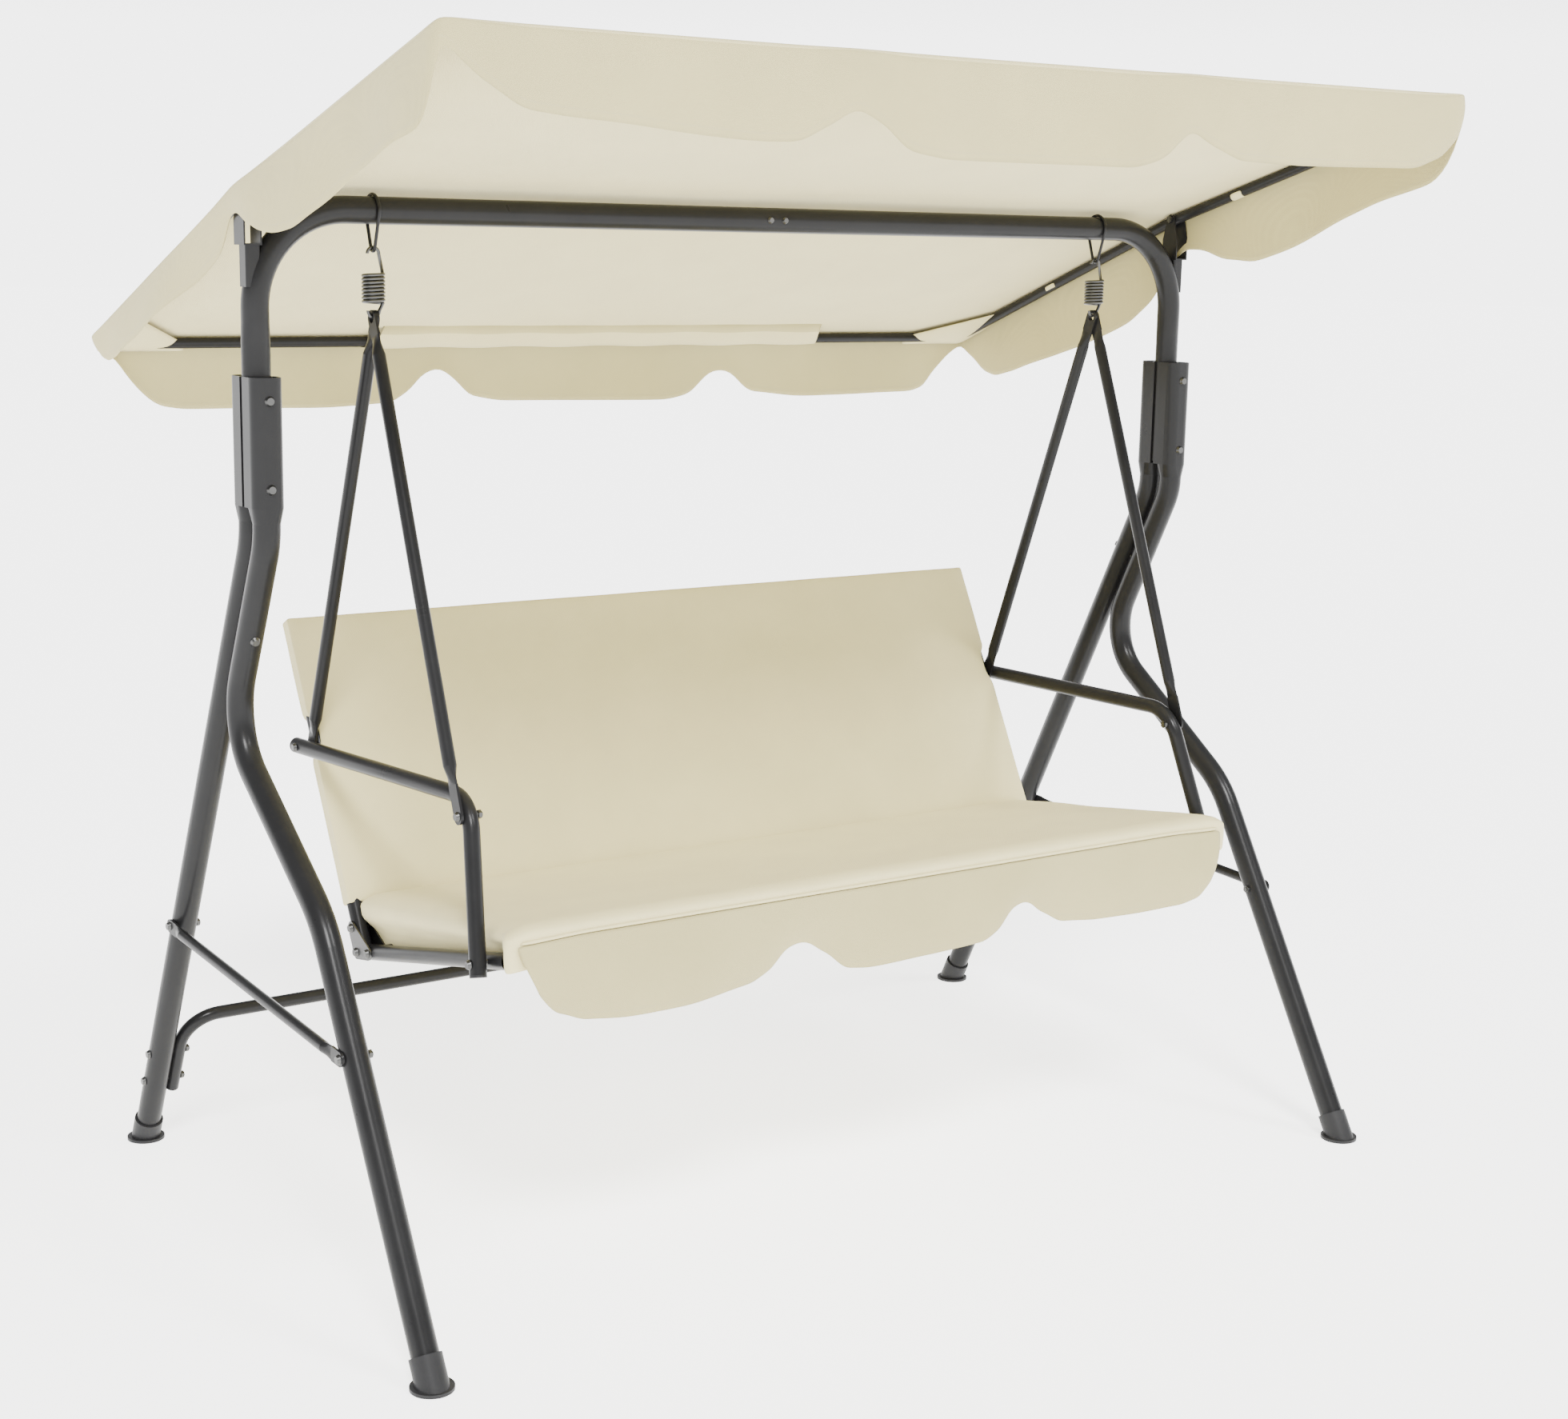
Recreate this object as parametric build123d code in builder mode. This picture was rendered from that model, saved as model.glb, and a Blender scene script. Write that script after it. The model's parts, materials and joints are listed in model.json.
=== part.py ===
"""Three-seat canopy swing: an A-frame of bent steel tube, a tilting fabric canopy and a sprung, swinging bench.

Frame: +Z up, X along the beam, -Y towards the front. The origin is on the ground, in the middle of the base.
All sizes are in millimetres.
"""

import os
from math import atan2, cos, radians, sin, sqrt, tan

from build123d import *

os.makedirs("parts", exist_ok=True)

SIDES = (("left", -1), ("right", 1))

# ---------------------------------------------------------------- stand: beam, posts and legs
frame_x = 880.0            # middle of the swing to the plane of each side frame
beam_z = 1560.0            # height of the beam's centre line
beam_r = 20.0
beam_wall = 1.5
beam_bend_r = 140.0
seam_x = -42.0             # the joint between the two beam halves
spigot_length = 88.0       # how far the left half reaches into the right one
spigot_clearance = 0.1
beam_bolt_x = 14.0

post_widen = 1.0           # the flattened lower end of each post is this much wider
post_flatten = 1.5         # and this much thinner than the tube's radius
post_round_z = 1400.0      # the post is round above this height
post_oval_z = 1372.0       # and fully oval below this one
post_end_z = 1144.0

leg_r = 20.0
leg_wall = 1.5
leg_offset = 6.0           # leg tubes in front of and behind the middle of the post
clamp_top_z = 1325.0
clamp_floor_z = 1140.0     # the dented part of each leg starts here
leg_round_z = 1117.0       # the leg is round below this height
clamp_side_wall = 3.0      # clamp beyond each side of the post
clamp_bulge = 2.0          # clamp deeper than the leg's diameter
clamp_slot = 8.0           # gap between the front and the rear leg at the clamp
clamp_corner_r = 17.0
clamp_clearance = 0.2
clamp_bolt_z = (1292.0, 1167.0)

rear_foot_y = 562.0
rear_knee_z = 1089.0
knee_r = 110.0
leg_run_gap = 6.0          # between the two legs where they run side by side
front_elbow_z = 793.0
front_elbow_r = 110.0
front_shin_y = -197.0
front_shin_z = 572.0
front_shin_r = 200.0
front_foot_y = -533.0
leg_end_z = 14.0           # the tube ends this far above the ground, inside its foot cap
junction_bolt_z = 968.0    # on the rear leg's centre line

foot_sleeve_wall = 3.5
foot_sleeve_length = 46.0
foot_flange_lip = 11.0     # flange beyond the leg's radius
foot_flange_height = 5.0
foot_clearance = 0.05      # radial, between a leg and its cap
foot_end_gap = 0.3

flat_edge_share = 0.45     # rounding of a pressed end's edges, per unit of its thickness
brace_r = 8.5
brace_wall = 1.2
brace_plate = 4.0
brace_plate_width = 22.0
brace_flat = 27.0          # from an eye to the end of the pressed part
brace_fade = 25.0          # over which the tube turns from flat to round
brace_rear_z = 431.0
brace_front_z = 400.0

crossbar_r = 11.0
crossbar_wall = 1.2
crossbar_end_z = 101.0
crossbar_z = 241.0
crossbar_bend_r = 60.0
crossbar_bolt_z = (178.0, 123.0)

bolt_clearance = 0.2       # radial, between a bolt's shank and the hole it passes through
bolt_r = 4.0
bolt_head_r = 7.5
bolt_head_height = 4.5
bolt_nut_height = 5.0
bolt_crown_share = 0.72    # radius of a head's flat crown, per unit of its radius
nut_share = 1.65           # corner radius of a nut, per unit of its bolt's radius
bolt_tip = 1.5             # thread beyond the nut
seat_gap = 0.1             # between a bolt's head or nut and the surface it seats on
small_bolt_r = 3.0
small_head_r = 5.5
small_head_height = 3.5
small_nut_height = 4.0

# ---------------------------------------------------------------- canopy
valance_gap = 0.7          # between the pivot bolts' heads and the side valances
canopy_half_depth = 628.0
pivot_rise = 20.0          # canopy pivot above the beam's centre line
canopy_front_rise = 198.0  # top of the cloth above the pivot, at the front
ridge_gap = 0.7            # cloth above the side rails' bend, beyond the rail gap
canopy_rear_fall = 229.0   # and below the pivot at the rear
cloth = 2.0
rail_r = 9.0
rail_wall = 1.2
rail_offset = 8.0          # side rails outside the side frames
rail_gap = 0.3             # cloth to rail
pivot_r = 4.0
pivot_clearance = 0.05
pivot_head_r = 7.0
pivot_nut_height = 4.0
saddle_clearance = 0.05    # radial, between a bracket and the beam
ear_plate = 2.5
ear_washer = 2.0
ear_half_depth = 18.0
ear_top_r = 8.6
bracket_floor_drop = 52.0  # below the beam's centre line
saddle_bottom_drop = 110.0
neck_offset = 6.0          # middle of a bracket's neck outside the side frame
neck_width = 22.0
neck_depth = 28.0
neck_corner_r = 4.0
pivot_cap = 1.8
front_valance_drop = 128.0
rear_valance_drop = 118.0
side_valance_drop = 140.0
side_end_drop = 90.0
front_arch_rise = 54.0
rear_arch_rise = 54.0
arch_inner_x = 305.0
arch_outer_inset = 46.0
arch_width = 120.0
side_notch_drop = 52.0
rail_corner_r = 40.0
rail_ridge_r = 150.0       # bend of the side rails over the pivot
rail_spigot_reach = 30.0
tie_length = 25.0
tie_y = (-156.0, 330.0)
tie_wall = 1.2
rear_sleeve_x = (-440.0, 535.0)

# ---------------------------------------------------------------- hangers and springs
ring_wire_r = 2.5
ring_clearance = 0.3
ring_drop = 51.0           # beam centre to the centre of the ring's small lower bend
ring_nose_r = 7.0
spring_wire_r = 2.5
spring_coil_r = 14.7
spring_turns = 8
spring_pitch = 5.3
spring_top_drop = 90.0     # beam centre to the centre of the highest turn
hook_r = 9.0
hook_eye_gap = 0.5
lower_hook_drop = 152.0    # beam centre to the wire at the bottom of the lower hook

# ---------------------------------------------------------------- swing arms, armrests, seat and back
arm_r = 10.0
arm_wall = 1.2
arm_plate = 4.0
arm_plate_width = 24.0
arm_plate_gap = 0.2
arm_fade = 28.0
arm_flat_share = 0.97      # pressed top of each arm, per unit of the length over which the two arms cross
rear_arm_low_flat = 22.0
front_arm_low_flat = 46.0
arm_eye_r = 7.0
arm_eye_drop = 2.0         # eye centre below the hook's wire
arm_inset = 185.0          # rear arms inside the side frames
seat_tube_r = 12.5
seat_tube_wall = 1.2
back_bolt_y = 257.0        # the bolt that joins armrest, rear arm and back frame
back_bolt_z = 722.0
back_lean = 27.9           # degrees from the vertical
back_top = 200.0           # along the back frame, from that bolt to the top rail
back_bottom = -350.0
back_corner_r = 45.0
back_lower_rail = -225.0
back_lower_rail_r = 10.0
cover_top = 217.0
cover_bottom = -262.0
cover_half_thickness = 17.0
cover_corner_r = 14.0
cover_slit = (-14.0, 46.0)
cover_slit_depth = 12.0

armrest_vertex_y = -261.0
armrest_vertex_z = 739.0
armrest_toe = 3.0          # front of an armrest inside the rear arm
armrest_bend_r = 65.0
armrest_skew_gap = 0.9     # the armrest runs askew, so it clears the arm's flat end by this much
armrest_tail = 17.0        # tube beyond its end bolts
plug_head = 3.0
plug_reach = 10.0
plug_clearance = 0.1
armrest_bolt_share = 0.45  # how far down the front bend the front arm is bolted
seat_bolt_y = -335.0
seat_pin_y = 63.0          # a point on the seat's side tube
seat_pin_z = 427.0
seat_slope = 0.2275        # rise towards the front, per unit of depth
seat_front_y = -378.0
seat_rear_y = 76.0
seat_front_rail_y = -364.0
seat_rail_gap = 0.5        # between the rear rail and the hinge plates
hinge_plate = 2.5
hinge_plate_r = 11.0
hinge_room_r = 13.0        # room left in the pad round the hinge plates
hinge_bolts_back = (-302.0, -341.0)
hinge_bolt_seat_y = 58.0
strap_half_width = 25.0
strap_count = 7
strap_end_inset = 110.5

bolt_room_r = 10.0         # room left in the pad and the back cover round a bolt
bolt_room_length = 60.0
pad_front_y = -397.7
pad_rear_low_y = 84.0
pad_rear_top_y = 114.0
pad_underside_rise = 0.1   # underside of the pad above the bottom of the side tubes
pad_top = 53.0
pad_top_rear = 84.0
pad_inset = 0.5            # side of the pad inside the middle of the side tube
pad_side_clearance = 2.0
pad_nose_r = 24.0
skirt_top_z = 556.0
skirt_bottom_z = 430.0
skirt_arch_z = 485.0
skirt_arch_x = 222.0
skirt_inset = 4.0          # end of the skirt inside the side of the pad
skirt_arch_half = 90.0
skirt_corner_half = 60.0
skirt_corner_rise = 24.0
skirt_gap = 0.3

# ---------------------------------------------------------------- derived values
seat_rear_rail_y = hinge_bolt_seat_y - hinge_plate_r - seat_tube_r - seat_rail_gap
rail_x = frame_x + rail_offset
canopy_half_width = rail_x + rail_r + ear_washer + ear_plate + pivot_cap + valance_gap + cloth
neck_x = frame_x + neck_offset
arch_x = (arch_outer_inset - canopy_half_width, -arch_inner_x, arch_inner_x, canopy_half_width - arch_outer_inset)
pivot_z = beam_z + pivot_rise
canopy_front_z = pivot_z + canopy_front_rise
canopy_ridge_z = pivot_z + rail_r + rail_gap + cloth + ridge_gap
canopy_rear_z = pivot_z - canopy_rear_fall
bracket_floor_z = beam_z - bracket_floor_drop
saddle_bottom_z = beam_z - saddle_bottom_drop
spring_top_z = beam_z - spring_top_drop
lower_hook_z = beam_z - lower_hook_drop
post_oval_x = beam_r + post_widen
post_oval_y = beam_r - post_flatten
leg_offset_y = leg_r + leg_offset
leg_pitch = 2 * leg_r + leg_run_gap
clamp_width = 2 * (post_oval_x + clamp_side_wall)
clamp_depth = 2 * leg_r + clamp_bulge
foot_flange_r = leg_r + foot_flange_lip
arm_rear_x = frame_x - arm_inset
cover_half_width = arm_rear_x
armrest_vertex_x = arm_rear_x - seat_tube_r - armrest_toe
rear_slope = (rear_foot_y - leg_offset_y) / rear_knee_z
leg_lean = atan2(rear_slope, 1.0)
leg_down = Vector(0, sin(leg_lean), -cos(leg_lean))
leg_across = Vector(0, cos(leg_lean), sin(leg_lean))
front_run_y = rear_foot_y - leg_pitch / cos(leg_lean)
valance_y = canopy_half_depth - cloth
valance_x = canopy_half_width - cloth
end_rail_y = valance_y - rail_gap - rail_r
arm_front_x = arm_rear_x + arm_plate + arm_plate_gap
hanger_x = (arm_rear_x + arm_front_x) / 2
eye_z = lower_hook_z - arm_eye_drop
armrest_rear_x = arm_rear_x + arm_plate / 2 + armrest_skew_gap + seat_tube_r
seat_tube_x = arm_rear_x - arm_plate / 2 - seat_tube_r
pad_half_width = seat_tube_x - pad_inset
pad_bottom = pad_underside_rise - seat_tube_r
skirt_half_width = pad_half_width - skirt_inset
strap_pitch = 2 * (seat_tube_x - strap_end_inset) / (strap_count - 1)
armrest_low_x = seat_tube_x + 2 * seat_tube_r + 1.6
back_up = Vector(0, sin(radians(back_lean)), cos(radians(back_lean)))
back_out = Vector(0, cos(radians(back_lean)), -sin(radians(back_lean)))


def rear_leg_y(z):
    """Rear leg centre line below its knee."""
    return rear_foot_y - rear_slope * z


def front_shin_line_y(z):
    """Front leg centre line below its lower bend."""
    return front_foot_y + (front_shin_y - front_foot_y) * z / front_shin_z


def sheet_z(y, below=0.0):
    """Height of the canopy cloth's upper face, or of a plane parallel to it and below it."""
    end_z = canopy_front_z if y < 0 else canopy_rear_z
    slope = (canopy_ridge_z - end_z) / canopy_half_depth
    return canopy_ridge_z - slope * abs(y) - below * sqrt(1 + slope**2)


def seat_z(y):
    """Height of the seat's side tubes."""
    return seat_pin_z - seat_slope * (y - seat_pin_y)


def back_point(along, out=0.0, x=0.0):
    """A point of the backrest: along it from the armrest bolt, and out behind it."""
    centre = Vector(x, back_bolt_y, back_bolt_z)
    return centre + back_up * along + back_out * out


# ---------------------------------------------------------------- shared shapes
def add_tube(points, radius, wall=0.0, bends=None, mode=Mode.ADD):
    """Sweep a round tube, or a rod when no wall is given, along runs joined by tangent bends."""
    with BuildLine() as path:
        if bends is None:
            Polyline(*points)
        else:
            FilletPolyline(*points, radius=bends)
    with BuildSketch(Plane(origin=path.line @ 0, z_dir=path.line % 0)) as section:
        Circle(radius)
        if wall:
            Circle(radius - wall, mode=Mode.SUBTRACT)
    sweep(section.sketch, path=path.line, mode=mode)


def bore(point, direction, radius, length):
    """Cut a round hole centred on a point."""
    with Locations(Plane(origin=point, z_dir=direction)):
        Cylinder(radius, length, mode=Mode.SUBTRACT)


def add_disc(point, direction, radius, thickness, mode=Mode.ADD):
    """Add a disc that starts at a point and grows along a direction."""
    with BuildSketch(Plane(origin=point, z_dir=direction)) as face:
        Circle(radius)
    extrude(face.sketch, amount=thickness, mode=mode)


def add_bolt(start, direction, grip, radius=bolt_r, head_r=bolt_head_r, head_height=bolt_head_height,
             nut_height=bolt_nut_height):
    """Add a domed bolt, its shank and its nut. The grip is measured between the two seats."""
    seat = Plane(origin=start, z_dir=direction)
    with BuildSketch(seat.offset(-head_height)) as crown:
        Circle(head_r * bolt_crown_share)
    with BuildSketch(seat) as brim:
        Circle(head_r)
    loft([crown.sketch, brim.sketch])
    with BuildSketch(seat) as shank:
        Circle(radius)
    extrude(shank.sketch, amount=grip + nut_height + bolt_tip)
    with BuildSketch(seat.offset(grip)) as nut:
        RegularPolygon(radius * nut_share, 6)
    extrude(nut.sketch, amount=nut_height)


def add_flat_end_tube(start, end, radius, wall, plate, width, flats, fade, eyes):
    """Add a tube whose two ends are pressed into flat eyes that lie square to X."""
    start = Vector(*start)
    end = Vector(*end)
    length = (end - start).length
    along = (end - start).normalized()

    def section(distance):
        return Plane(origin=start + along * distance, x_dir=(1, 0, 0), z_dir=along)

    for near, far in ((flats[0], flats[0] + fade), (length - flats[1], length - flats[1] - fade)):
        with BuildSketch(section(near)) as flat:
            RectangleRounded(plate, width, plate * flat_edge_share)
        with BuildSketch(section(far)) as full:
            Circle(radius)
        loft([flat.sketch, full.sketch])
    round_length = length - flats[0] - flats[1] - 2 * fade
    with BuildSketch(section(flats[0] + fade)) as tube:
        Circle(radius)
    extrude(tube.sketch, amount=round_length)
    for centre, inner, sign, eye in ((start, flats[0], 1, eyes[0]), (end, flats[1], -1, eyes[1])):
        face = Plane(origin=centre - Vector(plate / 2, 0, 0), x_dir=along * sign, z_dir=(1, 0, 0))
        with BuildSketch(face) as flat_end:
            Circle(width / 2)
            with Locations((inner / 2, 0)):
                Rectangle(inner, width)
            Circle(eye, mode=Mode.SUBTRACT)
        extrude(flat_end.sketch, amount=plate)
    with BuildSketch(section(flats[0] + fade)) as hollow:
        Circle(radius - wall)
    extrude(hollow.sketch, amount=round_length, mode=Mode.SUBTRACT)


def save(part, name):
    """Label a finished piece and write it out."""
    part.label = name
    export_step(part, f"parts/{name}.step")


# ---------------------------------------------------------------- beam
for name, side in SIDES:
    post_x = side * frame_x
    with BuildPart() as beam:
        add_tube([(post_x, 0, post_round_z), (post_x, 0, beam_z), (seam_x, 0, beam_z)], beam_r, beam_wall,
                 beam_bend_r)
        for shrink, mode in ((0.0, Mode.ADD), (beam_wall, Mode.SUBTRACT)):
            with BuildSketch(Plane.XY.offset(post_round_z)) as round_end:
                with Locations((post_x, 0)):
                    Circle(beam_r - shrink)
            with BuildSketch(Plane.XY.offset(post_oval_z)) as oval_end:
                with Locations((post_x, 0)):
                    Ellipse(post_oval_x - shrink, post_oval_y - shrink)
            loft([round_end.sketch, oval_end.sketch], mode=mode)
        with BuildSketch(Plane.XY.offset(post_end_z)) as post:
            with Locations((post_x, 0)):
                Ellipse(post_oval_x, post_oval_y)
                Ellipse(post_oval_x - beam_wall, post_oval_y - beam_wall, mode=Mode.SUBTRACT)
        extrude(post.sketch, amount=post_oval_z - post_end_z)
        if side < 0:
            spigot_r = beam_r - beam_wall - spigot_clearance
            collar = 4.0
            add_disc((seam_x - collar, 0, beam_z), (1, 0, 0), beam_r, collar)
            add_disc((seam_x, 0, beam_z), (1, 0, 0), spigot_r, spigot_length)
            add_disc((seam_x - collar, 0, beam_z), (1, 0, 0), spigot_r - beam_wall, spigot_length + collar,
                     Mode.SUBTRACT)
        for z in clamp_bolt_z:
            bore((post_x, 0, z), (0, 1, 0), bolt_r + bolt_clearance, 4 * beam_r)
        for bolt_side in (-1, 1):
            bore((bolt_side * beam_bolt_x, 0, beam_z), (0, 1, 0), small_bolt_r + bolt_clearance, 4 * beam_r)
    save(beam.part, f"beam_{name}")

with BuildPart() as beam_bolts:
    for bolt_side in (-1, 1):
        add_bolt((bolt_side * beam_bolt_x, -beam_r - seat_gap, beam_z), (0, 1, 0), 2 * (beam_r + seat_gap),
                 small_bolt_r, small_head_r, small_head_height, small_nut_height)
save(beam_bolts.part, "beam_bolts")

# ---------------------------------------------------------------- legs
front_knee_z = (front_run_y + leg_offset_y) / rear_slope
leg_paths = {
    "rear": ([(leg_offset_y, leg_round_z), (leg_offset_y, rear_knee_z),
              (rear_leg_y(leg_end_z), leg_end_z)], [knee_r]),
    "front": ([(-leg_offset_y, leg_round_z), (-leg_offset_y, front_knee_z),
               (front_run_y - rear_slope * front_elbow_z, front_elbow_z), (front_shin_y, front_shin_z),
               (front_shin_line_y(leg_end_z), leg_end_z)], [knee_r, front_elbow_r, front_shin_r]),
}
junction = Vector(0, rear_leg_y(junction_bolt_z), junction_bolt_z)


def add_clamp(x, row):
    """Add the dented top of one leg, which cradles half of the post."""
    middle_y = row * (clamp_slot + clamp_depth) / 2
    height = clamp_top_z - clamp_floor_z

    with BuildSketch(Plane.XY.offset(clamp_floor_z)) as floor:
        with Locations((x, middle_y)):
            RectangleRounded(clamp_width, clamp_depth, clamp_corner_r)
    with BuildSketch(Plane.XY.offset(leg_round_z)) as round_top:
        with Locations((x, row * leg_offset_y)):
            Circle(leg_r)
    loft([round_top.sketch, floor.sketch])
    with BuildSketch(Plane.XY.offset(clamp_floor_z)) as cradle:
        with Locations((x, middle_y)):
            RectangleRounded(clamp_width, clamp_depth, clamp_corner_r)
        with Locations((x, row * (clamp_slot + clamp_corner_r) / 2)):
            Rectangle(clamp_width, clamp_corner_r)
        with Locations((x, 0)):
            Ellipse(post_oval_x + clamp_clearance, post_oval_y + clamp_clearance, mode=Mode.SUBTRACT)
    extrude(cradle.sketch, amount=height)
    with BuildSketch(Plane.XY.offset(clamp_top_z)) as hollow:
        with Locations((x, middle_y)):
            RectangleRounded(clamp_width - 2 * leg_wall, clamp_depth - 2 * leg_wall, clamp_corner_r - leg_wall)
        with Locations((x, 0)):
            Ellipse(post_oval_x + 2 * leg_wall, post_oval_y + 2 * leg_wall, mode=Mode.SUBTRACT)
    extrude(hollow.sketch, amount=-height / 2, mode=Mode.SUBTRACT)
    for z in clamp_bolt_z:
        bore((x, 0, z), (0, 1, 0), bolt_r + bolt_clearance, 6 * leg_r)


def rear_side_bore(x, z):
    """Cut a hole across the rear leg, square to the side frame."""
    bore((x, rear_leg_y(z), z), (1, 0, 0), bolt_r + bolt_clearance, 3 * leg_r)


for name, side in SIDES:
    x = side * frame_x
    for row_name, row in (("front", -1), ("rear", 1)):
        points, bends = leg_paths[row_name]
        with BuildPart() as leg:
            add_tube([(x, y, z) for y, z in points], leg_r, leg_wall, bends)
            add_clamp(x, row)
            bore(Vector(x, junction.Y, junction.Z) - leg_across * (leg_pitch / 2), leg_across,
                 bolt_r + bolt_clearance, 6 * leg_r)
            if row < 0:
                bore((x, front_shin_line_y(brace_front_z), brace_front_z), (1, 0, 0), bolt_r + bolt_clearance,
                     3 * leg_r)
            else:
                rear_side_bore(x, brace_rear_z)
                for z in crossbar_bolt_z:
                    rear_side_bore(x, z)
        save(leg.part, f"{row_name}_leg_{name}")

        foot_y = rear_leg_y(0) if row > 0 else front_foot_y
        along = leg_down * -1 if row > 0 else Vector(0, front_shin_y - front_foot_y, front_shin_z).normalized()
        base = Vector(x, foot_y, 0)
        with BuildPart() as foot:
            sleeve_r = leg_r + foot_sleeve_wall
            add_disc(base - along * foot_sleeve_length, along, sleeve_r, 2 * foot_sleeve_length)
            with BuildSketch() as flange:
                with Locations((x, foot_y + along.Y / along.Z * foot_flange_height)):
                    Circle(foot_flange_r)
            extrude(flange.sketch, amount=foot_flange_height)
            add_disc(base + along * (leg_end_z / along.Z - foot_end_gap), along, leg_r + foot_clearance,
                     3 * foot_sleeve_length,
                     Mode.SUBTRACT)
            with Locations((x, foot_y, -foot_sleeve_length)):
                Box(8 * leg_r, 8 * leg_r, 2 * foot_sleeve_length, mode=Mode.SUBTRACT)
        save(foot.part, f"foot_cap_{row_name}_{name}")

    with BuildPart() as post_bolts:
        clamp_face = clamp_slot / 2 + clamp_depth
        for z in clamp_bolt_z:
            add_bolt((x, -clamp_face - seat_gap, z), (0, 1, 0), 2 * (clamp_face + seat_gap))
        start = Vector(x, junction.Y, junction.Z) - leg_across * (leg_pitch + leg_r + seat_gap)
        add_bolt(start, leg_across, leg_pitch + 2 * (leg_r + seat_gap))
    save(post_bolts.part, f"post_bolts_{name}")

    outer_x = side * (frame_x + leg_r)
    plate_x = outer_x + side * (brace_plate / 2 + seat_gap)
    brace_front = (plate_x, front_shin_line_y(brace_front_z), brace_front_z)
    brace_rear = (plate_x, rear_leg_y(brace_rear_z), brace_rear_z)
    with BuildPart() as brace:
        hole = bolt_r + bolt_clearance
        add_flat_end_tube(brace_front, brace_rear, brace_r, brace_wall, brace_plate, brace_plate_width,
                          (brace_flat, brace_flat), brace_fade, (hole, hole))
    save(brace.part, f"side_brace_{name}")

    with BuildPart() as side_bolts:
        for centre in (brace_front, brace_rear):
            start = Vector(*centre) + Vector(side * (brace_plate / 2 + seat_gap), 0, 0)
            add_bolt(start, (-side, 0, 0), 2 * leg_r + brace_plate + 3 * seat_gap)
        for z in crossbar_bolt_z:
            add_bolt((outer_x + side * seat_gap, rear_leg_y(z), z), (-side, 0, 0),
                     2 * (leg_r + crossbar_r) + 3 * seat_gap)
    save(side_bolts.part, f"side_bolts_{name}")

crossbar_x = frame_x - leg_r - seat_gap - crossbar_r
with BuildPart() as crossbar:
    add_tube([(-crossbar_x, rear_leg_y(crossbar_end_z), crossbar_end_z),
              (-crossbar_x, rear_leg_y(crossbar_z), crossbar_z),
              (crossbar_x, rear_leg_y(crossbar_z), crossbar_z),
              (crossbar_x, rear_leg_y(crossbar_end_z), crossbar_end_z)], crossbar_r, crossbar_wall,
             crossbar_bend_r)
    for side in (-1, 1):
        for z in crossbar_bolt_z:
            rear_side_bore(side * crossbar_x, z)
save(crossbar.part, "rear_crossbar")

# ---------------------------------------------------------------- canopy brackets
ear_inner_x = rail_x - rail_r - ear_washer - ear_plate
ear_outer_x = rail_x + rail_r + ear_washer
for name, side in SIDES:
    with BuildPart() as bracket:
        for ear_x in (ear_inner_x, ear_outer_x):
            origin = (side * (ear_x + (ear_plate if side < 0 else 0)), 0, pivot_z)
            with BuildSketch(Plane(origin=origin, x_dir=(0, 1, 0), z_dir=(1, 0, 0))) as ear:
                Circle(ear_top_r)
                with BuildLine():
                    Polyline((-ear_top_r, 0), (ear_top_r, 0), (ear_half_depth, -0.5 * (pivot_z - bracket_floor_z)),
                             (ear_half_depth, bracket_floor_z - pivot_z), (-ear_half_depth, bracket_floor_z - pivot_z),
                             (-ear_half_depth, -0.5 * (pivot_z - bracket_floor_z)), close=True)
                make_face()
                Circle(pivot_r + pivot_clearance, mode=Mode.SUBTRACT)
            extrude(ear.sketch, amount=ear_plate)
        span = ear_outer_x + ear_plate - ear_inner_x
        web_x = side * (ear_inner_x + span / 2)
        with Locations((web_x, 0, bracket_floor_z + ear_plate / 2)):
            Box(span, 2 * ear_half_depth, ear_plate)
        with BuildSketch(Plane.XY.offset(saddle_bottom_z)) as neck:
            with Locations((side * neck_x, 0)):
                RectangleRounded(neck_width, neck_depth, neck_corner_r)
        extrude(neck.sketch, amount=bracket_floor_z - saddle_bottom_z)
        add_tube([(side * frame_x, 0, clamp_top_z), (side * frame_x, 0, beam_z), (0, 0, beam_z)],
                 beam_r + saddle_clearance, 0.0, beam_bend_r, Mode.SUBTRACT)
    save(bracket.part, f"canopy_bracket_{name}")

    with BuildPart() as pivot_bolt:
        head_x = ear_outer_x + ear_plate
        add_bolt((side * (head_x + 0.05), 0, pivot_z), (-side, 0, 0), head_x - ear_inner_x + 0.1, pivot_r,
                 pivot_head_r, pivot_cap, pivot_nut_height)
    save(pivot_bolt.part, f"canopy_pivot_bolt_{name}")

# ---------------------------------------------------------------- canopy frame and cloth
rail_drop = cloth + rail_gap + rail_r
rail_side_y = end_rail_y - 2 * rail_corner_r


def rail_point(y):
    """Height of the side rails' centre line."""
    return sheet_z(y, rail_drop)


for name, side in SIDES:
    x = side * rail_x
    with BuildPart() as side_rail:
        add_tube([(x, -rail_side_y, rail_point(-rail_side_y)), (x, 0, pivot_z),
                  (x, rail_side_y, rail_point(rail_side_y))], rail_r, rail_wall,
                 rail_ridge_r)
        bore((x, 0, pivot_z), (1, 0, 0), pivot_r + pivot_clearance, 4 * rail_r)
    save(side_rail.part, f"canopy_side_rail_{name}")

for row_name, row in (("front", -1), ("rear", 1)):
    start_y = row * (rail_side_y + 0.1)
    end_y = row * end_rail_y
    with BuildPart() as end_rail:
        add_tube([(-rail_x, start_y, rail_point(start_y)), (-rail_x, end_y, rail_point(end_y)),
                  (rail_x, end_y, rail_point(end_y)), (rail_x, start_y, rail_point(start_y))], rail_r, rail_wall,
                 rail_corner_r)
    save(end_rail.part, f"canopy_{row_name}_rail")

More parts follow.
